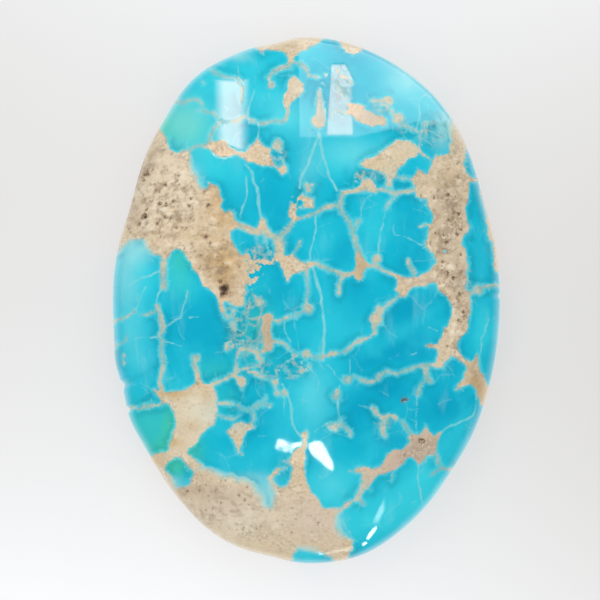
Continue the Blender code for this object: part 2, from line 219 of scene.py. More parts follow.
# Seams of host rock: width, then the places that each runs through
HOST_SEAMS = (
    (0.85, ((-2.05, 4.6), (-2.05, 3.2))),
    (0.22, ((-7.2, 17.4), (-6.5, 17.0), (-5.65, 16.95), (-5.1, 16.7), (-4.9, 16.1), (-4.95, 15.0))),
    (0.28, ((-10.3, 15.2), (-9.3, 14.95), (-8.9, 15.1), (-8.4, 15.3), (-8.1, 15.1), (-7.9, 14.85))),
    (0.15, ((-8.4, 14.4), (-7.6, 14.35), (-7.0, 14.15), (-6.7, 13.8))),
    (0.25, ((-6.4, 13.5), (-6.9, 13.1), (-7.2, 12.6), (-7.4, 12.0))),
    (0.25, ((-6.4, 13.5), (-5.6, 13.5), (-5.0, 13.75), (-4.6, 13.9), (-4.0, 13.6), (-3.4, 13.4),
            (-2.5, 13.6), (-1.6, 13.6), (-1.4, 14.3), (-1.5, 14.8))),
    (0.20, ((-8.9, 11.3), (-8.5, 11.65), (-8.0, 11.75), (-7.5, 11.65))),
    (0.25, ((-1.2, 18.5), (-1.2, 18.0), (-1.4, 17.7), (-2.0, 17.6), (-2.4, 17.4), (-2.7, 17.1),
            (-2.9, 16.85), (-2.75, 16.45))),
    (0.22, ((-1.0, 18.0), (-0.5, 17.95), (-0.1, 17.75), (0.1, 17.4), (0.2, 17.0), (0.6, 16.9),
            (1.1, 16.9), (1.45, 17.05), (1.3, 16.4))),
    (0.30, ((2.1, 17.6), (2.5, 17.1), (3.0, 16.8), (3.45, 16.45))),
    (0.20, ((2.3, 16.2), (2.8, 15.5), (3.2, 15.2))),
    (0.18, ((2.0, 14.4), (2.6, 14.3), (2.8, 14.0))),
    (0.20, ((5.0, 15.1), (5.6, 15.1), (6.1, 15.1))),
    (0.15, ((5.7, 14.9), (5.5, 14.3))),
    (0.25, ((6.5, 14.3), (6.9, 13.8), (7.2, 13.3), (7.9, 13.1), (8.3, 12.9), (8.7, 12.7), (9.0, 13.0))),
    (0.18, ((8.6, 12.6), (8.6, 12.2), (8.5, 11.6), (8.7, 11.1), (9.2, 10.8), (9.5, 10.6))),
    (0.40, ((-5.3, 5.75), (-4.6, 5.45), (-4.0, 5.15), (-3.3, 5.1), (-2.7, 4.85), (-2.2, 4.7))),
    (0.40, ((-1.9, 4.7), (-1.5, 5.2), (-1.2, 5.8), (-1.0, 6.2))),
    (0.35, ((-2.2, 3.1), (-2.6, 2.9), (-3.1, 2.8), (-3.4, 2.5))),
    (0.28, ((-0.7, 6.2), (0.0, 6.35), (0.5, 6.5), (1.0, 6.75), (1.5, 7.0), (2.0, 7.2), (2.5, 7.15))),
    (0.28, ((2.6, 7.2), (2.6, 7.6), (2.8, 8.1), (3.2, 8.2), (3.8, 8.35), (4.5, 8.3), (5.1, 8.2),
            (5.6, 8.4), (6.2, 8.3), (6.8, 8.15), (7.5, 8.2), (8.1, 8.4))),
    (0.30, ((2.6, 7.1), (2.65, 6.7), (2.9, 6.3), (3.2, 5.9), (3.45, 5.4), (3.5, 4.9), (3.7, 4.4),
            (3.9, 4.0), (4.0, 3.5))),
    (0.22, ((3.6, 5.4), (3.8, 5.7), (4.0, 6.0))),
    (0.28, ((0.3, 2.75), (0.7, 2.85), (1.0, 2.65), (1.5, 2.4), (2.0, 2.25), (2.5, 2.0), (2.9, 1.9),
            (3.3, 2.0), (3.7, 2.1))),
    (0.22, ((2.9, 1.9), (2.6, 1.5), (2.5, 1.0), (2.45, 0.5))),
    (0.22, ((0.0, 2.2), (0.1, 1.5), (0.1, 0.8), (0.05, 0.0), (0.05, -0.3))),
    (0.25, ((4.75, 2.65), (5.2, 2.65), (5.6, 2.4), (6.1, 2.1), (6.6, 1.9))),
    (0.18, ((7.7, 3.0), (7.7, 2.7), (7.9, 2.4), (8.2, 2.0))),
    (0.15, ((8.6, 5.6), (9.2, 5.7))),
    (0.20, ((6.9, 8.1), (6.5, 7.7), (6.2, 7.3), (6.0, 6.9))),
    (0.20, ((6.5, 9.3), (7.2, 9.3), (7.9, 9.2))),
    (0.25, ((12.4, 0.45), (13.0, 0.8), (13.5, 1.0), (14.2, 1.15), (15.0, 1.1))),
    (0.25, ((7.2, 0.5), (6.7, 0.1), (6.2, -0.3), (5.8, -0.6), (5.5, -1.0), (5.3, -1.5), (5.1, -2.0),
            (5.1, -2.5), (4.8, -2.8), (4.3, -2.95), (3.8, -3.1), (3.5, -3.4), (3.2, -3.7), (2.9, -3.9),
            (2.3, -3.95), (1.7, -4.1), (1.2, -4.3), (0.6, -4.35), (0.1, -4.2))),
    (0.25, ((9.9, -5.0), (9.2, -4.9), (8.6, -5.0), (8.0, -5.1), (7.4, -5.4), (7.0, -5.55), (6.5, -5.45),
            (6.1, -5.3), (5.8, -5.6), (5.5, -5.8))),
    (0.18, ((5.1, -6.1), (4.8, -6.2), (4.3, -6.0), (3.7, -5.8), (3.3, -5.75))),
    (0.35, ((9.2, -5.0), (9.1, -5.4), (9.1, -5.8), (9.35, -6.1))),
    (0.25, ((9.0, -6.1), (8.7, -6.4), (8.55, -6.8), (8.45, -7.1))),
    (0.28, ((5.0, -8.2), (5.3, -8.6), (5.7, -8.9), (6.3, -8.8), (6.8, -8.9))),
    (0.28, ((5.9, -9.0), (5.9, -9.5), (5.8, -10.0), (6.0, -10.3))),
    (0.22, ((7.3, -9.2), (7.5, -9.5), (7.9, -10.1))),
    (0.20, ((9.9, -11.8), (9.9, -12.3), (10.2, -12.7), (10.7, -12.8), (11.1, -12.9))),
    (0.15, ((10.1, -12.8), (9.7, -13.1), (9.5, -13.3))),
    (0.12, ((6.5, -13.1), (6.5, -13.6))),
    (0.12, ((4.4, -14.2), (4.9, -14.4))),
    (0.12, ((4.1, -15.1), (4.4, -15.5))),
    (0.22, ((-2.5, -1.45), (-2.1, -1.6), (-1.7, -1.4), (-1.5, -1.35))),
    (0.22, ((-2.5, -3.1), (-2.1, -3.2), (-1.7, -3.2), (-1.3, -3.6), (-1.0, -4.0))),
    (0.35, ((-3.3, -3.9), (-3.6, -4.0), (-4.0, -3.8), (-4.4, -3.65), (-4.8, -3.7), (-5.2, -4.0))),
    (0.30, ((-3.7, -4.1), (-3.5, -4.5))),
    (0.20, ((-5.0, -2.3), (-4.95, -2.9), (-4.7, -3.4))),
    (0.25, ((-5.2, -3.9), (-5.3, -4.6), (-5.3, -5.2), (-5.5, -5.6), (-6.1, -5.9), (-6.6, -6.1),
            (-7.1, -6.35))),
    (0.20, ((-5.4, -5.6), (-5.0, -5.3), (-4.5, -5.2), (-4.0, -5.1))),
    (0.30, ((-5.4, -5.7), (-4.9, -6.1), (-4.9, -6.6))),
    (0.18, ((-4.4, -5.4), (-3.8, -5.6), (-3.3, -5.8), (-2.8, -6.0), (-2.4, -6.2), (-2.35, -6.6),
            (-2.3, -7.1))),
    (0.35, ((0.1, -5.0), (-0.2, -5.3), (-0.7, -5.6), (-1.1, -5.7))),
    (0.18, ((-1.3, -4.6), (-1.4, -5.2), (-1.3, -5.7))),
    (0.12, ((-0.3, -0.9), (-0.8, -1.2), (-1.3, -1.3))),
    (0.20, ((-5.0, -8.3), (-4.3, -8.3), (-4.0, -8.15), (-3.6, -8.0), (-3.1, -7.9), (-2.7, -8.0))),
    (0.15, ((-3.9, -8.1), (-3.4, -7.8), (-3.0, -7.4))),
    (0.20, ((-4.1, -8.5), (-4.0, -9.0), (-4.3, -9.5))),
    (0.15, ((-6.6, -7.85), (-5.9, -7.8), (-5.3, -7.85), (-5.0, -8.2))),
    (0.15, ((-6.7, -8.7), (-6.0, -8.9), (-5.4, -9.0), (-5.1, -8.8))),
    (0.20, ((2.6, -9.1), (2.8, -9.5), (3.2, -9.9), (3.4, -10.1))),
    (0.28, ((-8.4, -4.8), (-8.3, -5.2), (-8.15, -5.7), (-8.1, -6.1))),
    (0.42, ((-10.85, 3.3), (-10.8, 2.5), (-10.8, 1.8), (-10.75, 1.0))),
    (0.22, ((-11.2, -0.6), (-11.5, -0.85), (-12.0, -1.0), (-12.4, -1.1))),
    (0.15, ((-13.0, -0.85), (-13.5, -1.15), (-14.0, -1.4), (-15.0, -1.7))),
    (0.30, ((-11.3, -0.4), (-11.2, -1.0), (-11.0, -1.5), (-10.8, -2.0), (-10.9, -2.4), (-11.15, -2.8),
            (-10.9, -3.1), (-11.0, -3.6), (-10.9, -4.2), (-10.85, -4.8), (-11.0, -5.4), (-11.1, -6.0),
            (-10.95, -6.6), (-10.9, -7.0))),
    (0.25, ((-11.0, -7.9), (-11.8, -7.95), (-12.3, -8.1), (-12.9, -8.2), (-14.0, -8.25))),
    (0.20, ((-13.6, -2.6), (-13.75, -3.1), (-14.8, -3.6))),
    (0.15, ((-13.8, -4.2), (-13.8, -4.8))),
    (0.20, ((-6.5, -0.4), (-6.2, -1.0), (-6.0, -1.3), (-5.6, -1.2), (-5.5, -0.8))),
    (0.25, ((-5.6, -1.7), (-5.5, -2.4), (-5.5, -2.9), (-5.9, -3.2), (-6.0, -3.7), (-5.6, -3.6),
            (-5.4, -3.3))),
    (0.12, ((-3.8, 4.8), (-3.6, 4.2), (-3.4, 3.6))),
    (0.15, ((-3.1, 4.6), (-3.0, 4.0), (-2.8, 3.4))),
    (0.15, ((-0.5, 4.5), (-0.7, 4.1), (-0.8, 3.8), (-1.2, 3.3))),
)

# Healed cracks, which show as pale threads in the turquoise: width, then their places
PALE_THREADS = (
    (0.30, ((0.95, 12.6), (0.7, 11.8), (0.4, 11.0), (0.1, 10.2), (-0.2, 9.6), (-0.4, 9.1), (-0.5, 8.5))),
    (0.25, ((1.0, 12.3), (1.15, 11.5), (1.3, 10.8), (1.5, 10.0), (1.8, 9.3), (2.1, 8.8), (2.4, 8.3))),
    (0.20, ((0.75, 6.4), (0.7, 5.7), (0.65, 5.0), (0.5, 4.3), (0.25, 3.6), (0.3, 3.1))),
    (0.28, ((0.5, 2.4), (0.7, 1.8), (0.9, 1.0), (1.1, 0.3), (1.2, -0.7), (1.35, -1.5), (1.4, -2.2),
            (1.3, -3.0), (1.3, -4.5))),
    (0.28, ((-4.6, 10.3), (-4.3, 10.0), (-4.1, 9.5), (-4.0, 9.0), (-3.7, 8.5), (-3.65, 7.8), (-3.6, 7.2),
            (-3.5, 6.7), (-3.4, 6.2))),
    (0.20, ((-4.6, 9.3), (-4.5, 8.5), (-4.6, 7.7), (-4.9, 7.0), (-5.0, 6.2))),
    (0.18, ((4.1, 6.3), (4.2, 7.0), (4.4, 7.6), (4.8, 7.9), (5.2, 8.0))),
    (0.16, ((6.0, 7.0), (5.8, 6.0), (5.6, 5.0), (5.4, 4.0), (5.4, 3.2))),
    (0.14, ((6.6, 5.7), (6.5, 5.3), (6.8, 5.0))),
    (0.16, ((6.6, 5.0), (7.0, 4.9), (7.6, 4.75), (8.1, 4.5), (8.6, 4.2), (9.1, 4.3))),
    (0.18, ((-3.55, 13.4), (-3.6, 12.9), (-3.7, 12.3))),
    (0.18, ((-3.9, 16.0), (-4.1, 15.3), (-4.3, 14.5), (-4.5, 13.9))),
    (0.16, ((-5.2, 18.0), (-5.1, 17.0))),
    (0.20, ((9.4, 15.8), (8.9, 15.5), (8.6, 15.1), (8.55, 14.2), (8.5, 13.4), (8.4, 12.9))),
    (0.20, ((-11.0, 2.2), (-11.7, 1.9), (-12.4, 1.7), (-13.0, 1.4), (-13.5, 1.1))),
    (0.16, ((-12.2, 1.0), (-12.5, 0.3), (-12.8, -0.4), (-13.1, -0.8))),
    (0.18, ((-10.9, 0.9), (-11.3, 0.5), (-11.35, 0.0), (-11.35, -0.5))),
    (0.18, ((-10.7, -1.9), (-10.2, -1.75), (-9.7, -1.4), (-9.4, -1.1), (-9.3, -0.4), (-9.1, 0.1),
            (-9.0, 0.8))),
    (0.14, ((-8.9, -1.35), (-8.2, -1.25))),
    (0.18, ((-13.0, -2.9), (-12.3, -2.8), (-11.7, -2.85), (-11.2, -2.8))),
    (0.16, ((-10.8, -3.1), (-10.3, -3.2), (-9.8, -3.45), (-9.4, -3.5))),
    (0.25, ((-1.8, -6.3), (-1.6, -7.0), (-1.3, -7.6), (-1.1, -8.2), (-1.1, -8.8), (-1.0, -9.4),
            (-0.8, -9.9), (-0.4, -10.4))),
    (0.14, ((-1.7, -7.3), (-1.7, -8.9))),
    (0.18, ((-1.65, -1.5), (-1.65, -1.9), (-1.6, -2.4), (-1.4, -2.8), (-1.2, -3.1))),
    (0.14, ((0.2, -5.0), (0.7, -5.6), (0.9, -6.2), (0.8, -6.9))),
    (0.18, ((1.6, -4.9), (2.0, -5.3), (2.3, -5.8), (2.6, -6.0))),
    (0.16, ((3.4, -4.0), (3.3, -4.7), (3.3, -5.5))),
    (0.18, ((2.5, -6.4), (2.35, -7.1), (2.35, -8.0), (2.5, -8.8))),
    (0.16, ((1.6, -9.3), (1.0, -9.7), (0.6, -10.0))),
    (0.16, ((4.0, -8.0), (4.5, -8.15), (4.9, -8.2))),
    (0.18, ((8.45, -7.1), (8.35, -7.6), (8.3, -8.5), (8.3, -9.3), (8.35, -10.0))),
    (0.18, ((8.5, -12.4), (8.5, -13.6), (8.6, -14.4), (8.7, -15.0), (8.9, -15.5))),
    (0.20, ((12.9, -6.8), (12.9, -7.6), (12.8, -8.4), (12.6, -8.85), (12.1, -9.1), (11.5, -9.35),
            (10.9, -9.6), (10.4, -9.9), (10.0, -10.2))),
    (0.14, ((9.3, -2.1), (9.9, -2.3))),
    (0.14, ((7.9, -4.1), (8.3, -4.05))),
    (0.20, ((13.9, -1.4), (13.6, -2.2), (13.3, -2.9), (13.3, -3.8), (13.1, -4.4))),
    (0.24, ((2.1, -16.0), (2.2, -16.5), (2.6, -17.2), (3.1, -17.9), (3.6, -18.4))),
    (0.18, ((2.3, -15.9), (2.7, -16.5), (3.0, -17.2), (3.4, -17.9), (3.9, -18.3))),
)

# The larger pits: x, y and radius
MARKED_PITS = (
    (-6.2, 0.9, 0.42), (-6.25, 0.5, 0.36), (-6.5, 1.4, 0.2), (-12.1, 9.6, 0.3), (-11.7, 9.9, 0.2),
    (-12.3, 9.1, 0.22), (-9.7, 9.4, 0.2), (-10.7, 8.7, 0.22), (-11.1, 8.2, 0.2), (-12.7, 8.4, 0.2),
    (-8.7, 8.6, 0.18), (-11.1, 7.3, 0.24), (-10.6, 7.2, 0.22), (-10.1, 7.5, 0.2), (-8.9, 7.1, 0.2),
    (-8.7, 7.7, 0.2), (-12.2, 6.3, 0.36), (-12.1, 6.9, 0.22), (-10.6, 6.25, 0.24), (-10.3, 6.25, 0.2),
    (-9.8, 5.5, 0.22), (-9.4, 5.5, 0.22), (-9.1, 5.45, 0.18), (-11.3, 5.8, 0.22), (-12.7, 5.8, 0.2),
    (-13.5, 5.4, 0.2), (-7.9, 4.9, 0.2), (-7.6, 4.8, 0.22), (-7.3, 4.3, 0.18), (-7.4, 7.2, 0.2),
    (-8.0, 2.6, 0.18), (-7.8, 2.3, 0.16), (10.7, 8.0, 0.26), (9.7, 7.75, 0.2), (10.9, 7.5, 0.22),
    (11.3, 7.85, 0.18), (10.8, 9.9, 0.2), (11.5, 6.5, 0.26), (11.2, 6.7, 0.18), (11.7, 6.2, 0.18),
    (10.7, 6.1, 0.2), (11.7, 5.4, 0.2), (11.4, 5.0, 0.2), (9.85, 5.1, 0.2), (10.4, 4.9, 0.2),
    (10.6, 4.4, 0.22), (9.4, 4.2, 0.16), (11.7, 3.5, 0.18), (10.3, 2.9, 0.22), (10.6, 2.1, 0.24),
    (10.7, 1.8, 0.2), (11.2, 1.7, 0.24), (11.6, 0.5, 0.2), (11.4, 0.1, 0.18), (10.2, 0.7, 0.14),
    (11.9, -0.9, 0.22), (12.0, -1.3, 0.2), (11.5, -1.5, 0.18), (11.7, -1.7, 0.18), (10.65, -3.45, 0.18),
    (7.4, -7.5, 0.34), (8.75, -10.65, 0.3), (-9.0, -14.5, 0.18), (-8.1, -14.5, 0.18),
    (-6.9, -14.5, 0.2), (-5.1, -14.8, 0.18), (-6.5, -13.7, 0.16), (-6.4, -15.4, 0.2), (-6.6, -16.0, 0.2),
    (-7.1, -15.9, 0.16), (-8.2, -16.5, 0.18), (-3.0, -17.9, 0.18), (-3.8, -17.4, 0.16),
    (-4.7, -18.0, 0.16), (-6.0, -18.1, 0.16), (-2.2, -16.8, 0.16), (-8.2, -6.35, 0.16),
)


class Cast(Enum):
    """What a stain does to the place where it lies; the value names its attribute."""

    DEEP = "deep_blue"
    # The light and milky casts are partly painted sheen: near the rims and in the north-east some of their
    # stains lighten the colour where the polish mirrors the pale surroundings
    LIGHT = "light_blue"
    MILKY_AND_SHEEN = "milky"
    GREEN = "green_cast"
    CRACKLE = "crackle"
    OCHRE = "ochre"
    CREAM = "cream"
    PINK = "pink"
    FUZZ = "soft_edge"
    COARSE = "coarse_rock"
    SPECKLED = "speckled_rock"
    VEILED = "veiled_rock"
    BROKEN = "broken_rock"


@dataclass(frozen=True)
class Stain:
    """A soft patch of another cast, in millimetres.

    It is an oval of the given reaches, turned anticlockwise by turn degrees, and fades outwards.
    """

    x: float
    y: float
    reach_x: float
    reach_y: float
    strength: float = 1.0
    turn: float = 0.0

    def amount(self, places: np.ndarray) -> np.ndarray:
        """Works out how strong the stain is at places on the face.

        Args:
            places: An array of x and y.

        Returns:
            A strength for each place.
        """
        angle = math.radians(self.turn)
        off = places - (self.x, self.y)
        along = (off[:, 0] * math.cos(angle) + off[:, 1] * math.sin(angle)) / self.reach_x
        across = (off[:, 1] * math.cos(angle) - off[:, 0] * math.sin(angle)) / self.reach_y
        return self.strength * np.exp(-(along ** 2 + across ** 2))


# For each cast, its stains: x, y, the reaches along x and y, strength, and turn where it is turned
STAINS = {
    Cast.DEEP: (
        (-8.6, -2.6, 2.3, 2.6, 0.55), (-2.0, 1.2, 1.0, 1.4, 0.5), (-1.9, 6.3, 1.0, 1.8, 0.5),
        (2.7, 3.6, 1.0, 1.0, 0.5), (8.3, 5.6, 1.6, 2.2, 0.5), (8.6, 3.3, 1.2, 1.2, 0.45),
        (13.0, 3.2, 0.9, 3.0, 0.25), (4.0, 1.0, 1.2, 1.0, 0.45), (7.6, -0.6, 2.6, 1.2, 0.7, 20.0),
        (7.2, -3.9, 2.8, 1.0, 0.8, 10.0), (8.8, -2.6, 2.0, 1.6, 0.5), (3.9, -8.0, 1.6, 1.8, 0.7),
        (6.6, -6.8, 1.8, 1.0, 0.6), (10.3, -8.0, 2.4, 1.7, 0.75), (6.3, -10.6, 2.2, 0.9, 0.7),
        (-2.8, -9.0, 1.4, 1.2, 0.4), (4.6, -4.7, 1.2, 0.5, 0.6, 20.0), (-3.1, 8.4, 0.9, 1.6, 0.35),
        (-5.5, -7.2, 1.4, 1.0, 0.35), (11.2, -5.2, 0.9, 0.7, 0.5),
    ),
    # Partly painted sheen: some of these stains, near the rims and in the north-east and north-west,
    # lighten the colour in place of reflected light
    Cast.LIGHT: (
        (-7.0, 17.4, 2.4, 1.4, 0.5), (-3.6, 17.8, 1.6, 1.2, 0.4), (-9.2, 13.4, 2.2, 2.0, 0.9),
        (-7.2, 10.3, 1.4, 1.2, 0.8, -35.0), (-1.0, 13.6, 2.2, 1.6, 0.5), (3.4, 11.2, 3.2, 1.5, 1.0),
        (7.6, 16.2, 2.2, 1.8, 0.8), (9.6, 13.8, 1.4, 1.8, 0.6), (0.6, 18.6, 2.0, 0.8, 0.4),
        (-4.9, 9.0, 0.9, 2.2, 0.4), (-13.2, 2.0, 1.6, 2.2, 0.8), (-13.0, -2.5, 1.4, 3.5, 0.55),
        (-9.6, 2.2, 1.0, 1.6, 0.4), (1.4, 5.2, 1.2, 1.6, 0.3), (5.0, 6.0, 1.1, 2.0, 0.3),
        (0.6, -7.4, 1.6, 2.8, 0.7), (1.6, -1.6, 1.4, 3.0, 0.45), (3.6, -2.4, 1.4, 1.4, 0.35, 40.0),
        (6.2, -16.0, 3.6, 2.2, 0.95, 30.0), (9.2, -13.8, 1.8, 2.4, 0.7, -40.0),
        (1.9, -14.0, 1.8, 1.6, 0.9), (3.2, -17.2, 1.2, 1.6, 0.4), (0.0, -19.4, 1.0, 0.5, 0.6),
        (11.6, -11.0, 1.4, 1.6, 0.4), (13.4, -2.4, 0.8, 2.6, 0.5), (12.9, 10.0, 0.6, 1.6, 0.4),
        (13.2, 3.0, 0.9, 3.0, 0.4), (-12.0, -9.4, 1.6, 1.8, 0.45), (-5.6, 16.4, 3.4, 2.2, 0.4),
        (-2.6, 14.6, 1.8, 2.4, 0.45), (-5.6, 9.8, 1.8, 1.2, 0.35), (-5.2, -12.2, 3.0, 0.9, 0.35),
        (7.8, -2.0, 3.2, 0.5, 0.35, 35.0),
    ),
    # Partly painted sheen: some stains at the west rim and in the north-east stand in for the pale
    # surroundings mirrored in the polish
    Cast.MILKY_AND_SHEEN: (
        (7.4, 16.6, 1.4, 1.3, 0.55), (-3.2, -14.4, 0.9, 0.9, 0.8), (-10.2, -13.8, 0.8, 0.5, 0.7),
        (0.6, -7.4, 1.2, 2.4, 0.18), (3.4, 11.2, 2.2, 1.0, 0.25), (-9.2, 13.4, 1.8, 1.8, 0.42),
        (-1.0, 14.2, 2.0, 1.6, 0.2), (10.3, 12.6, 0.8, 1.2, 0.7), (-13.6, 1.6, 0.9, 2.4, 0.45),
        (-13.2, -3.0, 1.2, 2.4, 0.14), (1.9, -14.0, 1.4, 1.2, 0.12), (0.2, -18.8, 1.2, 0.3, 0.5),
        (-13.0, 3.5, 1.2, 0.9, 0.6), (-8.6, 9.4, 0.7, 0.9, 0.6), (-4.4, -13.4, 1.4, 0.4, 0.4),
        (10.6, 13.4, 0.6, 1.2, 0.6), (-5.0, 18.5, 0.8, 0.4, 0.6), (2.4, -17.2, 0.5, 1.0, 0.7),
        (-8.2, 8.7, 0.5, 0.5, 0.6), (0.2, 10.2, 0.8, 2.0, 0.2), (-12.2, 4.0, 0.9, 0.5, 0.4),
    ),
    Cast.GREEN: (
        (-9.2, 13.2, 1.9, 1.8, 0.6), (-10.9, 13.2, 0.6, 1.0, 0.5), (-9.6, 3.2, 0.8, 1.1, 0.4),
        (-9.5, 1.6, 1.0, 1.4, 0.28), (-10.4, -9.4, 0.6, 1.9, 0.6, -8.0), (-11.2, -11.2, 1.2, 0.8, 0.5),
        (-12.0, -9.4, 1.8, 1.8, 0.4), (-10.0, -12.6, 1.0, 0.8, 0.85), (-8.6, -11.3, 0.9, 1.3, 0.6),
        (-7.0, -5.2, 1.4, 0.8, 0.3), (-6.0, -7.4, 1.2, 1.0, 0.2), (-3.8, -2.2, 1.6, 2.4, 0.3),
    ),
    Cast.CRACKLE: (
        (-4.4, -2.4, 1.7, 2.6, 1.0), (-4.6, -0.3, 1.4, 0.8, 0.8), (-3.6, 3.4, 1.5, 1.2, 0.8),
        (-2.0, 10.9, 0.8, 0.8, 0.8), (-0.1, 8.5, 0.7, 0.5, 0.9), (4.4, 9.3, 1.2, 0.6, 1.0),
        (6.2, 9.6, 0.8, 0.6, 0.5), (5.6, 14.6, 1.0, 0.6, 0.9), (7.8, 12.9, 1.4, 0.6, 0.9, -20.0),
        (9.6, 12.6, 0.9, 1.6, 0.75), (10.2, 13.4, 0.8, 1.2, 0.3), (-2.6, -5.6, 1.4, 1.0, 0.8),
        (-0.9, -5.2, 0.9, 0.8, 0.8), (-5.6, -8.6, 1.2, 0.7, 0.6), (2.2, -9.5, 0.9, 0.5, 0.9),
        (5.9, -9.2, 1.0, 0.9, 0.7), (2.7, 15.8, 0.8, 2.4, 0.9), (12.3, 1.6, 0.5, 1.0, 0.8),
        (12.4, 4.6, 0.5, 0.6, 0.5), (5.3, -1.4, 0.8, 0.6, 0.7), (-1.6, -12.6, 0.9, 0.7, 0.7),
        (2.8, -18.6, 0.9, 0.6, 0.6), (8.6, -5.4, 0.8, 0.8, 0.5),
    ),
    Cast.OCHRE: (
        (4.5, 13.9, 1.8, 0.9, 0.4), (1.1, 14.4, 0.5, 1.8, 0.4), (-0.4, -12.0, 0.6, 1.4, 0.3),
        (-2.9, -2.4, 0.5, 1.6, 0.5), (4.2, 2.6, 0.7, 1.2, 0.35), (-6.4, 3.0, 1.5, 1.4, 1.0),
        (-6.9, 7.2, 0.9, 1.6, 0.7), (-6.0, 6.0, 0.8, 0.7, 0.5), (-10.2, -7.1, 1.4, 0.35, 0.7),
        (-8.6, -6.4, 0.9, 0.35, 0.5, 20.0), (-10.1, -10.8, 0.4, 0.4, 0.6),
        (12.9, -6.3, 0.5, 1.4, 0.7, 30.0), (10.8, 9.0, 1.0, 1.2, 0.35), (-11.8, -12.2, 0.8, 0.5, 0.6),
        (-8.4, 4.8, 1.6, 0.6, 0.35), (-8.6, -9.5, 0.8, 0.5, 0.45), (-7.6, -7.3, 0.4, 0.8, 0.4),
        (-9.4, -10.9, 0.5, 0.5, 0.4), (-6.2, 1.2, 0.7, 1.0, 0.8),
    ),
    Cast.CREAM: (
        (-8.2, -8.6, 1.7, 2.2, 1.0), (-9.5, -11.3, 1.2, 1.0, 0.7), (-9.8, 8.6, 2.2, 1.6, 0.5),
        (-10.5, 11.0, 1.2, 1.0, 0.5), (-12.2, 8.0, 1.0, 2.0, 0.4), (-9.2, 4.2, 1.0, 0.6, 0.6),
        (7.1, 11.3, 1.2, 0.8, 0.3), (-4.6, -16.6, 3.4, 1.8, 0.7), (0.6, -16.8, 2.0, 1.6, 0.5),
        (-0.9, 15.9, 0.6, 1.2, 0.6),
    ),
    Cast.PINK: (
        (7.2, -12.2, 3.4, 1.6, 0.9, 30.0), (0.6, -16.6, 2.2, 2.2, 0.6), (-2.9, -2.4, 0.6, 1.6, 0.5),
        (-0.9, 16.0, 0.6, 1.0, 0.15), (4.5, 13.8, 1.6, 0.7, 0.6), (8.6, 1.4, 1.8, 0.4, 0.4),
        (1.1, 14.5, 0.4, 1.5, 0.6), (-6.4, -15.6, 3.0, 1.6, 0.4),
    ),
    Cast.FUZZ: (
        (-8.6, 9.4, 0.6, 1.5, 0.9), (-12.9, 3.9, 1.4, 0.8, 1.0), (-4.0, -14.4, 2.0, 1.0, 0.9, -20.0),
        (-6.6, -13.1, 1.6, 0.7, 0.7, -12.0), (-3.0, -15.2, 0.9, 0.9, 0.7), (10.8, 13.1, 0.8, 1.2, 0.8),
        (-4.8, 18.6, 1.0, 0.6, 0.8), (2.5, -17.2, 0.8, 1.4, 0.9), (-10.0, -13.8, 0.9, 0.5, 0.6),
        (0.0, -18.8, 1.6, 0.5, 0.8),
    ),
    Cast.COARSE: (
        (-10.4, 7.6, 4.2, 4.6, 1.0), (-7.0, 2.2, 2.2, 2.4, 0.9), (10.8, 5.0, 2.2, 6.5, 1.0),
        (11.6, -2.0, 1.8, 4.0, 0.8), (-5.6, -15.8, 5.0, 2.6, 0.6), (8.6, -11.2, 1.6, 1.0, 0.5),
    ),
    Cast.SPECKLED: (
        (11.3, 5.9, 1.1, 1.2, 1.0), (10.4, 4.4, 0.8, 0.9, 0.7), (11.6, 2.0, 0.7, 1.5, 0.8),
        (11.9, -0.8, 0.6, 1.3, 0.8), (10.6, 8.6, 1.2, 1.2, 0.5), (-12.3, 9.8, 0.5, 1.6, 0.7, -20.0),
        (-8.9, -14.4, 1.4, 0.5, 0.35), (-6.4, -14.8, 1.8, 0.5, 0.25), (10.9, 7.4, 0.9, 0.7, 0.6),
        (8.6, -11.3, 2.2, 1.0, 0.7, 30.0), (12.9, -6.0, 0.5, 1.4, 0.5), (-12.9, 6.6, 0.6, 0.9, 0.5),
        (-7.6, 2.8, 0.5, 1.2, 0.6, 30.0), (-6.1, 1.2, 0.7, 0.8, 0.7), (-2.9, -2.4, 0.5, 1.6, 0.5),
        (4.2, 2.6, 0.7, 1.2, 0.4),
    ),
    Cast.VEILED: (
        (-6.5, 16.8, 2.6, 1.6, 0.6), (-4.0, 13.6, 2.8, 0.6, 0.5), (-8.6, 14.9, 1.4, 0.8, 0.5),
        (1.6, 15.5, 0.8, 2.0, 0.5), (9.4, 13.6, 1.6, 1.8, 0.6), (0.9, 14.4, 0.7, 1.8, 0.15),
        (4.5, 14.1, 1.6, 0.8, 0.15), (-11.0, -3.6, 0.5, 3.0, 0.25), (0.1, 0.9, 0.4, 1.2, 0.7),
        (8.0, -5.2, 1.6, 0.5, 0.35), (6.3, -0.2, 0.8, 0.8, 0.3), (3.6, -3.2, 1.8, 0.9, 0.25),
        (5.6, 2.4, 0.8, 0.4, 0.25), (-12.0, -8.0, 1.2, 0.4, 0.25), (-5.3, -4.8, 0.4, 0.8, 0.35),
        (6.5, 8.4, 1.0, 1.4, 0.35), (5.3, 6.3, 1.6, 1.6, 0.3), (-4.8, -8.6, 2.6, 1.2, 0.45),
        (-1.4, -4.5, 1.4, 2.4, 0.4), (4.2, -14.8, 0.9, 1.3, 0.4), (10.6, -12.0, 1.2, 0.6, 0.4),
        (-13.2, -0.9, 1.4, 0.8, 0.5), (-13.8, -3.1, 1.0, 0.8, 0.6), (12.9, 1.2, 0.8, 0.6, 0.3),
    ),
    Cast.BROKEN: (
        (-3.9, 2.4, 1.3, 1.0, 1.0, 35.0), (3.6, 9.3, 1.0, 0.6, 0.25), (9.8, 12.4, 0.8, 1.2, 0.35),
        (2.5, 16.4, 1.0, 1.8, 0.8), (-1.2, 7.6, 0.8, 0.6, 0.5), (-4.9, -2.9, 0.9, 0.6, 0.8),
        (-1.2, -5.2, 1.2, 0.8, 0.5),
    ),
}


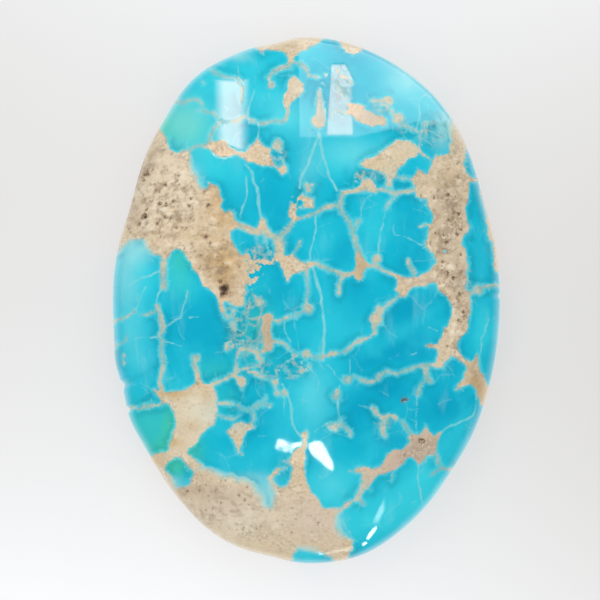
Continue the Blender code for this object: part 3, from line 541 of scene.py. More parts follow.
class Term:
    """A node's output that Python's operators work on, each adding its Math node."""

    def __init__(self, tree: "Tree", socket: bpy.types.NodeSocket) -> None:
        """Keeps the output and the tree that it belongs to."""
        self.tree = tree
        self.socket = socket

    def __add__(self, other: "Term | float") -> "Term":
        """The sum."""
        return self.tree.maths("ADD", self, other)

    def __sub__(self, other: "Term | float") -> "Term":
        """The difference."""
        return self.tree.maths("SUBTRACT", self, other)

    def __rsub__(self, other: float) -> "Term":
        """The difference from a number."""
        return self.tree.maths("SUBTRACT", other, self)

    def __mul__(self, other: "Term | float") -> "Term":
        """The product."""
        return self.tree.maths("MULTIPLY", self, other)

    def __truediv__(self, other: "Term | float") -> "Term":
        """The quotient."""
        return self.tree.maths("DIVIDE", self, other)

    def __rtruediv__(self, other: float) -> "Term":
        """The quotient of a number."""
        return self.tree.maths("DIVIDE", other, self)

    def __pow__(self, power: "Term | float") -> "Term":
        """The power."""
        return self.tree.maths("POWER", self, power)

    __radd__ = __add__
    __rmul__ = __mul__

    def at_least(self, other: "Term | float") -> "Term":
        """The larger of this and another value."""
        return self.tree.maths("MAXIMUM", self, other)

    def at_most(self, other: "Term | float") -> "Term":
        """This term or the other, whichever is smaller."""
        return self.tree.maths("MINIMUM", self, other)

    def above(self, limit: float) -> "Term":
        """1 where this is above a limit, and 0 elsewhere."""
        return self.tree.maths("GREATER_THAN", self, limit)

    def rise(self, low: "Term | float", high: "Term | float") -> "Term":
        """Rises smoothly from 0 at low to 1 at high.

        Args:
            low: Where it is 0; it may be the larger of the two.
            high: Where it is 1.

        Returns:
            The smooth step.
        """
        sockets = {"Value": self, "From Min": low, "From Max": high}
        return self.tree.read("ShaderNodeMapRange", {"interpolation_type": "SMOOTHSTEP"}, sockets)


class Tree:
    """A node tree, with one way of adding nodes to it."""

    def __init__(self, nodes: bpy.types.NodeTree) -> None:
        """Keeps the tree and empties it."""
        self.nodes = nodes
        self.nodes.nodes.clear()

    def node(self, kind: str, settings: dict | None = None, sockets: dict | None = None) -> bpy.types.Node:
        """Adds one node.

        Args:
            kind: The node's Blender type.
            settings: The node's own settings, which are set first.
            sockets: A value or a term for each input, by name or number.

        Returns:
            The node.
        """
        made = self.nodes.nodes.new(kind)
        for name, value in (settings or {}).items():
            setattr(made, name, value)
        for key, value in (sockets or {}).items():
            if isinstance(value, Term):
                self.nodes.links.new(value.socket, made.inputs[key])
            else:
                made.inputs[key].default_value = value
        return made

    def term(self, node: bpy.types.Node, output: "str | int" = 0) -> Term:
        """One output of a node, as a term."""
        return Term(self, node.outputs[output])

    def read(
        self, kind: str, settings: dict | None = None, sockets: dict | None = None,
        output: "str | int" = 0,
    ) -> Term:
        """Adds one node and gives one of its outputs."""
        return self.term(self.node(kind, settings, sockets), output)

    def maths(self, operation: str, *values: "Term | float") -> Term:
        """One Math node's result."""
        return self.read("ShaderNodeMath", {"operation": operation}, dict(enumerate(values)))

    def scaled(self, vector: Term, factor: "Term | float") -> Term:
        """A vector times a number."""
        return self.read("ShaderNodeVectorMath", {"operation": "SCALE"}, {0: vector, 3: factor})

    def noise(self, place: Term, scale: float, detail: float = 2.0, roughness: float = 0.5) -> Term:
        """A noise texture's value, which lies about 0.5.

        Args:
            place: The vector that it is read at.
            scale: Its lumps for each unit of place.
            detail: How many finer layers it has.
            roughness: How strong these are.

        Returns:
            The noise.
        """
        sockets = {"Vector": place, "Scale": scale, "Detail": detail, "Roughness": roughness}
        return self.read("ShaderNodeTexNoise", {}, sockets)


class GeometryTree(Tree):
    """A Geometry Nodes tree with named inputs, used once on one object."""

    def __init__(self, name: str) -> None:
        """Starts a tree that takes a mesh and gives one back."""
        super().__init__(bpy.data.node_groups.new(name, "GeometryNodeTree"))
        self.values = {}
        self.nodes.interface.new_socket("Mesh", in_out="INPUT", socket_type="NodeSocketGeometry")
        self.nodes.interface.new_socket("Mesh", in_out="OUTPUT", socket_type="NodeSocketGeometry")
        self.way_in = self.node("NodeGroupInput")

    def ask(self, name: str, socket_type: str, value: object) -> Term:
        """Adds a named input.

        Args:
            name: The input's name.
            socket_type: Its Blender socket type.
            value: What the modifier gives it.

        Returns:
            The input, as a term.
        """
        asked = self.nodes.interface.new_socket(name, in_out="INPUT", socket_type=socket_type)
        self.values[asked.identifier] = value
        return self.term(self.way_in, name)

    def size(self, name: str, value: float) -> Term:
        """Adds a named number."""
        return self.ask(name, "NodeSocketFloat", value)

    def stored(self, name: str) -> Term:
        """A number that the mesh already carries."""
        return self.read("GeometryNodeInputNamedAttribute", {"data_type": "FLOAT"}, {"Name": name})

    def close(self, mesh: Term, finish: bpy.types.Material) -> None:
        """Ends the tree: instances become real, and the finish goes on."""
        whole = self.read("GeometryNodeRealizeInstances", {}, {0: mesh})
        finish = self.ask("Finish", "NodeSocketMaterial", finish)
        dressed = self.read("GeometryNodeSetMaterial", {}, {"Geometry": whole, "Material": finish})
        self.node("NodeGroupOutput", {}, {0: dressed})

    def apply(self, thing: bpy.types.Object) -> None:
        """Runs the tree on an object and leaves the result as its plain mesh."""
        modifier = thing.modifiers.new(self.nodes.name, "NODES")
        modifier.node_group = self.nodes
        for identifier, value in self.values.items():
            modifier[identifier] = value
        graph = bpy.context.evaluated_depsgraph_get()
        shaped = bpy.data.meshes.new_from_object(thing.evaluated_get(graph), depsgraph=graph)
        thing.modifiers.remove(modifier)
        thing.data = shaped


class ShaderTree(Tree):
    """The node tree of a material or of the surroundings."""

    # The noise that bends cracks: its lumps for each pitch, and how many finer layers it has
    bend_lumps = 1.6
    bend_detail = 3.0

    def __init__(self, owner: "bpy.types.Material | bpy.types.World") -> None:
        """Turns on the owner's nodes and starts with none."""
        owner.use_nodes = True
        super().__init__(owner.node_tree)

    def stored(self, name: str) -> Term:
        """A number that the mesh carries."""
        return self.read("ShaderNodeAttribute", {"attribute_name": name}, output="Fac")

    def mix(self, share: "Term | float", first: "Term | tuple", second: "Term | tuple") -> Term:
        """Mixes two colours: the first where share is 0, the second where it is 1."""
        sockets = {0: share, 6: first, 7: second}
        return self.read("ShaderNodeMix", {"data_type": "RGBA"}, sockets, 2)

    def layered(self, base: "Term | tuple", *layers: tuple) -> "Term | tuple":
        """Lays colours over a base in turn.

        Args:
            base: The colour underneath.
            layers: The share and the colour of each layer.

        Returns:
            The colour that shows.
        """
        for share, tint in layers:
            base = self.mix(share, base, tint)
        return base

    def fitted(self, place: Term, scale: tuple, turn: float) -> Term:
        """A vector stretched along its axes, then turned about z by an angle in radians."""
        sockets = {"Vector": place, "Scale": scale, "Rotation": (0.0, 0.0, turn)}
        return self.read("ShaderNodeMapping", {}, sockets)

    def cracks(self, place: Term, pitch: float, bend: float) -> Term:
        """Works out how far places are from a web of bent cracks.

        Args:
            place: The vector that it is read at.
            pitch: How far apart the cracks are.
            bend: How far they stray, as a share of the pitch.

        Returns:
            The distance, as a share of the pitch.
        """
        sockets = {"Vector": place, "Scale": self.bend_lumps / pitch, "Detail": self.bend_detail}
        warp = self.read("ShaderNodeTexNoise", {}, sockets, "Color")
        reach = bend * pitch
        bent = self.read("ShaderNodeVectorMath", {"operation": "MULTIPLY_ADD"}, {
            0: warp, 1: (reach, reach, reach), 2: place,
        })
        web = {"Vector": bent, "Scale": 1.0 / pitch}
        return self.read("ShaderNodeTexVoronoi", {"feature": "DISTANCE_TO_EDGE"}, web, "Distance")

    def show(self, kind: str, sockets: dict, output: str = "ShaderNodeOutputMaterial") -> None:
        """Ends the tree with a shader, given its type and its inputs."""
        self.node(output, {}, {0: self.read(kind, {}, sockets)})


def colour(red: int, green: int, blue: int) -> tuple[float, float, float, float]:
    """Turns a colour as it is seen on a screen, from 0 to 255, into the light that makes it."""
    shares = (red / 255.0, green / 255.0, blue / 255.0)
    light = [s / 12.92 if s <= 0.04045 else ((s + 0.055) / 1.055) ** 2.4 for s in shares]
    return (*light, 1.0)


class Depths:
    """How deep places lie inside the shapes that are laid on them, in millimetres.

    depth is negative outside the shapes. along counts the way round the shape that a place is
    deepest in, so that fine spikes can be set out along its edge.
    """

    def __init__(self, places: np.ndarray, limit: float = 2.0, gap: float = 17.0) -> None:
        """Starts with no shapes.

        Args:
            places: An array of x and y.
            limit: How far outside a shape places are still told apart.
            gap: What along starts with on each further shape and on its other side.
        """
        self.places = places
        self.limit = limit
        self.gap = gap
        self.depth = np.full(len(places), -limit)
        self.along = np.zeros(len(places))
        self.shapes = 0

    def add(self, corners: tuple, half_width: float = 0.0, closed: bool = True) -> None:
        """Lays on one closed outline, or one seam of an even width.

        Args:
            corners: The outline's corners, or the places that the seam runs through.
            half_width: Half the seam's width.
            closed: Whether it is an outline.
        """
        self.shapes += 1
        starts = np.array(corners)
        ends = np.roll(starts, -1, axis=0) if closed else starts[1:]
        low, high = starts.min(0) - self.limit, starts.max(0) + self.limit
        near = np.all((self.places > low) & (self.places < high), axis=1)
        spots = self.places[near]
        inside = np.zeros(len(spots), bool)
        nearest = np.full(len(spots), np.inf)
        along = np.zeros(len(spots))
        travelled = self.gap * self.shapes
        for start, end in zip(starts, ends):
            run = end - start
            length = np.linalg.norm(run)
            off = spots - start
            share = np.clip(off @ run / length ** 2, 0.0, 1.0)
            distance = np.linalg.norm(off - share[:, None] * run, axis=1)
            left = off[:, 1] * run[0] > off[:, 0] * run[1]
            closer = distance < nearest
            nearest = np.where(closer, distance, nearest)
            along = np.where(closer, travelled + share * length + 0.5 * self.gap * left, along)
            travelled += length
            if closed and start[1] != end[1]:
                crosses = (start[1] > spots[:, 1]) != (end[1] > spots[:, 1])
                inside ^= crosses & (off[:, 0] < off[:, 1] * run[0] / run[1])
        depth = np.where(inside, nearest, half_width - nearest)
        deeper = depth > self.depth[near]
        self.depth[near] = np.where(deeper, depth, self.depth[near])
        self.along[near] = np.where(deeper, along, self.along[near])


@dataclass
class Oval:
    """The cabochon's form: a hand-ground oval with a flat back, a thin girdle and a low dome."""

    width: float = 29.5 * MM
    length: float = 40.0 * MM
    height: float = 8.5 * MM
    girdle_top: float = 2.2 * MM
    back_inset: float = 0.8 * MM
    bevel_power: float = 2.9
    dome_fullness: float = 2.2
    dome_shoulder: float = 1.9
    face_cells: int = 270
    back_cells: int = 90
    back_edge: float = 0.985
    wall_rings: int = 8
    # Swells past a true ellipse (+) and shortfalls (-): bearing and spread in degrees, and rise
    swells: tuple = (
        (28.0, 8.0, -0.20 * MM), (55.0, 14.0, 0.36 * MM), (97.5, 4.0, -0.22 * MM),
        (117.0, 9.0, 0.45 * MM), (152.0, 12.0, -0.42 * MM), (198.0, 6.0, 0.20 * MM),
        (214.0, 6.5, 0.26 * MM), (248.0, 7.0, 0.12 * MM), (262.0, 5.0, -0.18 * MM),
        (283.0, 8.0, 0.20 * MM), (310.0, 8.0, -0.15 * MM),
    )
    # Chips in the girdle: bearing and half width in degrees, and depth
    chips: tuple = ((1.2, 0.9, 0.14 * MM), (204.8, 1.6, 0.24 * MM), (211.5, 0.9, 0.24 * MM))

    def swell(self, bearings: np.ndarray) -> np.ndarray:
        """Works out how far the outline stands out from the ellipse.

        Args:
            bearings: Directions from the middle, in degrees anticlockwise from +x.

        Returns:
            The rise at each bearing, in metres.
        """
        rise = np.zeros_like(bearings)
        for middle, spread, height in self.swells:
            rise += height * np.exp(-((self.turn(bearings, middle) / spread) ** 2))
        for middle, half_width, depth in self.chips:
            rise -= depth * np.clip(1.0 - np.abs(self.turn(bearings, middle)) / half_width, 0.0, 1.0)
        return rise

    @staticmethod
    def turn(bearings: np.ndarray, middle: float) -> np.ndarray:
        """The smallest turn from one bearing to others, in degrees."""
        return (bearings - middle + 180.0) % 360.0 - 180.0

    def dome(self, x: np.ndarray, y: np.ndarray) -> np.ndarray:
        """Works out the face's height, without its wear.

        Args:
            x: Places across the oval, in metres.
            y: Places along it.

        Returns:
            The heights above the back.
        """
        bearing = np.arctan2(y, x)
        across = np.cos(bearing) / (0.5 * self.width)
        along = np.sin(bearing) / (0.5 * self.length)
        reach = 1.0 / np.hypot(across, along) + self.swell(np.degrees(bearing))
        share = np.minimum(np.hypot(x, y) / reach, 1.0)
        fall = (1.0 - share ** self.dome_fullness) ** (1.0 / self.dome_shoulder)
        return self.girdle_top + (self.height - self.girdle_top) * fall

    def mirrored(self, x: float, y: float, eye: Vector) -> tuple[Vector, Vector]:
        """Finds where the polished face reflects to.

        Args:
            x: The place on the face, in metres.
            y: The same.
            eye: Where it is seen from.

        Returns:
            The point of the face, and the direction that the eye sees mirrored in it.
        """
        step = 0.05 * MM
        across = np.array((x, x + step, x - step, x, x))
        along = np.array((y, y, y, y + step, y - step))
        height, east, west, north, south = self.dome(across, along)
        normal = Vector((west - east, south - north, 2.0 * step)).normalized()
        point = Vector((x, y, height))
        towards = (eye - point).normalized()
        return point, 2.0 * normal.dot(towards) * normal - towards

    @staticmethod
    def gridded_disc(cells: int) -> np.ndarray:
        """The corners of a square grid, pressed into the unit disc so that its cells keep one area."""
        steps = np.linspace(-1.0, 1.0, cells + 1)
        across, along = np.meshgrid(steps, steps)
        wide = np.abs(across) >= np.abs(along)
        ring = np.where(wide, across, along)
        safe = np.where(ring == 0.0, 1.0, ring)
        lean = 0.25 * math.pi * np.where(wide, along, across) / safe
        x = np.where(wide, ring * np.cos(lean), ring * np.sin(lean))
        y = np.where(wide, ring * np.sin(lean), ring * np.cos(lean))
        return np.stack([x.ravel(), y.ravel()], axis=1)

    @staticmethod
    def grid_faces(cells: int, first: int) -> np.ndarray:
        """The four corners of each cell of a grid, anticlockwise, counted from the first corner."""
        row = np.arange(cells)
        low = (row[:, None] * (cells + 1) + row[None, :]).ravel() + first
        return np.stack([low, low + 1, low + cells + 2, low + cells + 1], axis=1)

    @staticmethod
    def grid_edge(cells: int, first: int) -> np.ndarray:
        """The corners along a grid's edge, anticlockwise from its first corner."""
        run = np.arange(cells)
        last = cells * (cells + 1)
        south = run
        east = run * (cells + 1) + cells
        north = last + cells - run
        west = last - run * (cells + 1)
        return np.concatenate([south, east, north, west]) + first

    def drum(self) -> bpy.types.Object:
        """Builds the unit drum that the stone is cut from.

        Its face is a gridded disc at height 1, its wall is rings of corners, and its back is a coarser
        gridded disc at height 0. Each carries the outline's swell at its bearing.

        Returns:
            The drum as an object.
        """
        face = self.gridded_disc(self.face_cells)
        points = [np.column_stack([face, np.ones(len(face))])]
        edge = self.grid_edge(self.face_cells, 0)
        rim = face[edge]
        quads = [self.grid_faces(self.face_cells, 0)]
        count = len(face)
        for ring in range(1, self.wall_rings + 1):
            points.append(np.column_stack([rim, np.full(len(rim), 1.0 - ring / self.wall_rings)]))
            lower = np.arange(len(rim)) + count
            quads.append(np.stack([edge, lower, np.roll(lower, -1), np.roll(edge, -1)], axis=1))
            edge = lower
            count += len(rim)
        back = self.gridded_disc(self.back_cells) * self.back_edge
        points.append(np.column_stack([back, np.zeros(len(back))]))
        quads.append(self.grid_faces(self.back_cells, count)[:, ::-1])
        inner = self.grid_edge(self.back_cells, count)
        inner_next = np.roll(inner, -1)
        fan = edge.reshape(len(inner), 3)
        fan_end = np.roll(fan[:, 0], -1)
        triangles = np.concatenate([
            np.stack([fan[:, 0], inner, fan[:, 1]], axis=1),
            np.stack([fan[:, 1], inner, inner_next], axis=1),
            np.stack([fan[:, 1], inner_next, fan[:, 2]], axis=1),
            np.stack([fan[:, 2], inner_next, fan_end], axis=1),
        ])
        corners = np.concatenate(points)
        faces = np.concatenate(quads).tolist() + triangles.tolist()
        mesh = bpy.data.meshes.new("turquoise_cabochon")
        mesh.from_pydata(corners.tolist(), [], faces)
        bearing = np.degrees(np.arctan2(corners[:, 1] * self.length, corners[:, 0] * self.width))
        store(mesh, "swell", self.swell(bearing))
        store(mesh, "level", corners[:, 2])
        store(mesh, "radius", np.hypot(corners[:, 0], corners[:, 1]))
        return add_object("turquoise_cabochon", mesh)

    def cut(self, thing: bpy.types.Object, finish: bpy.types.Material) -> None:
        """Cuts the unit drum to the cabochon's form with a Geometry Nodes tree."""
        tree = GeometryTree("cut_cabochon")
        width = tree.size("Width", self.width)
        length = tree.size("Length", self.length)
        height = tree.size("Height", self.height)
        girdle_top = tree.size("Girdle top", self.girdle_top)
        back_inset = tree.size("Back inset", self.back_inset)
        bevel_power = tree.size("Bevel power", self.bevel_power)
        fullness = tree.size("Dome fullness", self.dome_fullness)
        shoulder = tree.size("Dome shoulder", self.dome_shoulder)
        place = tree.node("ShaderNodeSeparateXYZ", {}, {0: tree.read("GeometryNodeInputPosition")})
        unit_x, unit_y, level = (tree.term(place, axis) for axis in range(3))
        radius = (unit_x ** 2.0 + unit_y ** 2.0) ** 0.5
        oval_x = unit_x * width * 0.5
        oval_y = unit_y * length * 0.5
        reach = (oval_x ** 2.0 + oval_y ** 2.0) ** 0.5 / radius
        inset = back_inset * (1.0 - level) ** bevel_power
        share = 1.0 + (tree.stored("swell") - inset) / reach
        fall = (1.0 - radius ** fullness).at_least(0.0) ** (1.0 / shoulder)
        top = girdle_top * level + (height - girdle_top) * fall * level.above(ON_FACE)
        sockets = {0: oval_x * share, 1: oval_y * share, 2: top}
        cut_place = tree.read("ShaderNodeCombineXYZ", {}, sockets)
        sockets = {"Geometry": tree.term(tree.way_in, "Mesh"), "Position": cut_place}
        tree.close(tree.read("GeometryNodeSetPosition", {}, sockets), finish)
        tree.apply(thing)


def add_object(name: str, data: bpy.types.ID) -> bpy.types.Object:
    """Adds an object for a mesh, a lamp or a camera to the scene."""
    thing = bpy.data.objects.new(name, data)
    bpy.context.scene.collection.objects.link(thing)
    return thing


def store(mesh: bpy.types.Mesh, name: str, values: np.ndarray) -> None:
    """Stores one number for each corner of a mesh under a name."""
    attribute = mesh.attributes.new(name, "FLOAT", "POINT")
    attribute.data.foreach_set("value", values.astype(np.float32))


def read_places(mesh: bpy.types.Mesh) -> np.ndarray:
    """The corners of a mesh, as an array of x, y and z in metres."""
    places = np.empty(len(mesh.vertices) * 3, np.float32)
    mesh.vertices.foreach_get("co", places)
    return places.reshape(-1, 3).astype(float)


def read_stored(mesh: bpy.types.Mesh, name: str) -> np.ndarray:
    """The numbers that a mesh carries under a name."""
    values = np.empty(len(mesh.vertices), np.float32)
    mesh.attributes[name].data.foreach_get("value", values)
    return values.astype(float)


@dataclass
class Pattern:
    """Where host rock, pale threads and stains lie, worked out over the whole surface.

    Their edges are ragged. Below the face, seams wander as they go deeper and the host rock slowly
    takes over.
    """

    bend: float = 0.10
    bend_pitch: float = 0.9
    kink: float = 0.06
    kink_pitch: float = 0.35
    swelling: float = 0.11
    swelling_pitch: float = 0.6
    nibble: float = 0.06
    nibble_pitch: float = 0.27
    wander: float = 0.30
    wander_pitch: float = 6.0
    takeover: float = 0.10
    thread_thinning: float = 0.05
    seed: int = 7

    def lay_on(self, mesh: bpy.types.Mesh, oval: Oval) -> None:
        """Stores the whole pattern on the cut stone.

        Args:
            mesh: The cut stone, in metres.
            oval: The form that it was cut to.
        """
        noise.seed_set(self.seed)
        corners = read_places(mesh)
        level = read_stored(mesh, "level")
        below = oval.dome(corners[:, 0], corners[:, 1]) - corners[:, 2]
        depth = np.where(level > ON_FACE, 0.0, np.maximum(below / MM, 0.0))
        places = np.empty((len(corners), 2))
        uneven = np.empty(len(corners))
        for number, corner in enumerate(corners / MM):
            spot = Vector(corner)
            shift = noise.noise_vector(spot / self.bend_pitch) * self.bend
            shift += noise.noise_vector(spot / self.kink_pitch) * self.kink
            if depth[number] > 0.0:
                shift += noise.noise_vector(spot / self.wander_pitch) * self.wander * depth[number]
            places[number] = (spot.x + shift.x, spot.y + shift.y)
            uneven[number] = noise.noise(spot / self.swelling_pitch) * self.swelling
            uneven[number] += noise.noise(spot / self.nibble_pitch) * self.nibble
        host, patches = self.host_rock(places)
        store(mesh, "host", host.depth + uneven + self.takeover * depth)
        store(mesh, "patch", patches + uneven + self.takeover * depth)
        store(mesh, "along", host.along)
        threads = Depths(places)
        for width, route in PALE_THREADS:
            threads.add(route, 0.5 * width - self.thread_thinning, closed=False)
        store(mesh, "thread", threads.depth + 0.5 * uneven - depth)
        for cast, rows in STAINS.items():
            amount = sum(Stain(*row).amount(places) for row in rows)
            store(mesh, cast.value, np.clip(amount, 0.0, 1.0))
        store(mesh, "sawn", np.clip(1.0 - level, 0.0, 1.0))

    @staticmethod
    def host_rock(places: np.ndarray) -> tuple[Depths, np.ndarray]:
        """Lays the patches, seams and beads of host rock on places, and opens the windows in them.

        Args:
            places: An array of x and y.

        Returns:
            All of the host rock, and how deep each place lies in the patches alone.
        """
        host = Depths(places)
        for outline in HOST_PATCHES.values():
            host.add(outline)
        patches = host.depth.copy()
        for width, route in HOST_SEAMS:
            host.add(route, 0.5 * width, closed=False)
        for x, y, radius in BEADS:
            host.depth = np.maximum(host.depth, radius - np.hypot(places[:, 0] - x, places[:, 1] - y))
        for x, y, radius in WINDOWS:
            host.depth = np.minimum(host.depth, np.hypot(places[:, 0] - x, places[:, 1] - y) - radius)
        return host, patches


@dataclass
class Wear:
    """How the polish left the host rock: lower than the turquoise, lumpy and pitted."""

    recess: float = 0.006 * MM
    coarse_recess: float = 0.10 * MM
    lumps: float = 0.55 * MM
    lump_pitch: float = 1.3 * MM
    grit: float = 0.40 * MM
    grit_pitch: float = 0.45 * MM
    pit_depth: float = 0.20 * MM
    pit_radius: float = 0.16 * MM
    deepest_radius: float = 0.50 * MM
    pit_raggedness: float = 1.6
    pit_floor: float = 0.15
    pits_for_each_mm2: float = 1.5
    rim: float = 0.965
    back: float = 0.9
    # How deep in the host rock, in millimetres, its wear begins and is whole
    worn_span: tuple = (-0.04, 0.25)
    seed: int = 7

    def marked_pits(self) -> bpy.types.Object:
        """Makes an object with one loose corner at height 0 for each large pit, carrying its radius."""
        mesh = bpy.data.meshes.new("marked_pits")
        mesh.from_pydata([(x * MM, y * MM, 0.0) for x, y, _ in MARKED_PITS], [], [])
        store(mesh, "pit_radius", np.array([radius for _, _, radius in MARKED_PITS]) * MM)
        return add_object("marked_pits", mesh)

    def apply(self, stone: bpy.types.Object, finish: bpy.types.Material) -> None:
        """Wears the stone with a Geometry Nodes tree, and stores its pits and its relief.

        Args:
            stone: The cut stone, with the pattern on it.
            finish: The material that the tree gives it.
        """
        marks = self.marked_pits()
        tree = GeometryTree("wear_host_rock")
        recess = tree.size("Recess", self.recess)
        coarse_recess = tree.size("Coarse recess", self.coarse_recess)
        lumps = tree.size("Lump height", self.lumps)
        grit = tree.size("Grit height", self.grit)
        pit_depth = tree.size("Pit depth", self.pit_depth)
        pit_radius = tree.size("Pit radius", self.pit_radius)
        deepest_radius = tree.size("Radius of the deepest pit", self.deepest_radius)
        density = tree.size("Pits for each square metre", self.pits_for_each_mm2 / MM ** 2)
        seed = tree.ask("Seed", "NodeSocketInt", self.seed)
        rim = tree.size("Where the rim begins", self.rim)
        marked = tree.ask("Marked pits", "NodeSocketObject", marks)
        place = tree.read("GeometryNodeInputPosition")
        on_face = tree.stored("radius").rise(1.0, rim) * (1.0 - tree.stored("sawn").above(self.back))
        coarse = tree.stored(Cast.COARSE.value)
        rock = tree.stored("host").rise(*self.worn_span) * on_face
        lump = tree.noise(place, 1.0 / self.lump_pitch)
        grain = tree.noise(place, 1.0 / self.grit_pitch, 3.0)
        uneven = (0.5 - lump) * lumps + (0.5 - grain) * grit
        depth = rock * (recess + coarse * (coarse_recess + uneven))
        worn = self.lowered(tree, tree.term(tree.way_in, "Mesh"), depth)
        scattered = tree.read("GeometryNodeDistributePointsOnFaces", {}, {
            "Mesh": worn, "Density": rock * coarse * density, "Seed": seed,
        })
        ragged = (grain - 0.5) * self.pit_raggedness
        small = self.closeness(tree, scattered, place, pit_radius, ragged)
        small = small * pit_radius.rise(0.0, deepest_radius)
        flat = tree.read("ShaderNodeVectorMath", {"operation": "MULTIPLY"}, {0: place, 1: (1.0, 1.0, 0.0)})
        told = tree.read("GeometryNodeObjectInfo", {}, {"Object": marked}, "Geometry")
        large_radius = self.nearest_radius(tree, told, flat)
        large = self.closeness(tree, told, flat, large_radius, ragged)
        large = large * large_radius.rise(0.0, deepest_radius)
        pit = small.at_least(large * on_face)
        pitted = self.lowered(tree, worn, pit * pit_depth)
        # The relief is also what the material paints highlight and shade from on the coarse rock
        for name, value in (("pit", pit), ("relief", lump * 0.5 + grain * 0.5)):
            pitted = tree.read("GeometryNodeStoreNamedAttribute", {"data_type": "FLOAT"}, {
                "Geometry": pitted, "Name": name, "Value": value,
            })
        tree.close(pitted, finish)
        tree.apply(stone)
        bpy.data.objects.remove(marks)

    @staticmethod
    def lowered(tree: GeometryTree, mesh: Term, depth: Term) -> Term:
        """Moves a mesh's corners inwards by a depth."""
        normal = tree.read("GeometryNodeInputNormal")
        sockets = {"Geometry": mesh, "Offset": tree.scaled(normal, 0.0 - depth)}
        return tree.read("GeometryNodeSetPosition", {}, sockets)

    def closeness(self, tree: GeometryTree, points: Term, place: Term, radius: Term, ragged: Term) -> Term:
        """Works out how near places are to the nearest of some points.

        Args:
            tree: The tree that this is part of.
            points: The points.
            place: The places.
            radius: How far from a point it falls to 0.
            ragged: What makes its edge uneven, as a share of the radius.

        Returns:
            1 at a point, and 0 from the radius on.
        """
        sockets = {0: points, "Source Position": place}
        settings = {"target_element": "POINTS"}
        distance = tree.read("GeometryNodeProximity", settings, sockets, "Distance")
        return (distance / radius + ragged).rise(1.0, self.pit_floor)

    @staticmethod
    def nearest_radius(tree: GeometryTree, points: Term, place: Term) -> Term:
        """The radius that the nearest marked pit carries."""
        sockets = {"Geometry": points, "Sample Position": place}
        nearest = tree.read("GeometryNodeSampleNearest", {"domain": "POINT"}, sockets)
        return tree.read("GeometryNodeSampleIndex", {"data_type": "FLOAT", "domain": "POINT"}, {
            "Geometry": points, "Value": tree.stored("pit_radius"), "Index": nearest,
        })


@dataclass(frozen=True)
class TurquoiseFinish:
    """Polished turquoise: its body colours, how much of each shows, and how glossy it is.

    A share is how much of a colour goes in at most. A span gives the two readings between which
    something comes in: of a noise, which lies about 0.5, or of the depth in host rock in millimetres,
    which is negative in the turquoise.
    """

    sky: tuple = colour(24, 186, 213)
    deep: tuple = colour(6, 154, 192)
    # The light and milky colours are also laid on near the rims as painted sheen
    light: tuple = colour(62, 216, 232)
    milky: tuple = colour(168, 234, 236)
    green: tuple = colour(74, 206, 172)
    shade: tuple = colour(16, 132, 150)
    thread: tuple = colour(142, 217, 220)
    halo: tuple = colour(122, 218, 224)
    veil: tuple = colour(86, 190, 198)
    roughness: float = 0.045

    cloud_pitch: float = 3.6
    wisp_pitch: float = 1.1
    wisp_fit: tuple = ((1.0, 0.3, 1.0), 0.2)
    mottle_pitch: float = 0.7

    deep_share: float = 0.75
    light_share: float = 0.8
    milky_share: float = 0.8
    cloud_share: float = 0.3
    dark_cloud_span: tuple = (0.50, 0.72)
    pale_cloud_span: tuple = (0.50, 0.30)
    wisp_share: float = 0.14
    wisp_span: tuple = (0.54, 0.80)

    # Turquoise is a little darker in places beside the host rock, and within crackle
    beside_share: float = 0.25
    beside_outer_span: tuple = (-0.8, -0.3)
    beside_inner_span: tuple = (-0.08, -0.3)
    beside_cloud_span: tuple = (0.46, 0.56)
    dusk_least: float = 0.2
    dusk_share: float = 0.45
    dusk_span: tuple = (0.48, 0.64)

    # And it is pale right at the rock
    halo_span: tuple = (-0.30, 0.02)
    halo_least: float = 0.2
    halo_share: float = 0.55
    halo_wisp_span: tuple = (0.35, 0.65)
    fuzz_width: float = 0.7

    hairline_pitch: float = 3.4
    hairline_bend: float = 0.5
    hairline_share: float = 0.2
    hairline_span: tuple = (0.03, 0.005)
    hairline_wisp_span: tuple = (0.48, 0.6)
    thread_span: tuple = (-0.07, 0.05)
    thread_least: float = 0.5
    thread_share: float = 0.4
    thread_mottle_span: tuple = (0.3, 0.7)


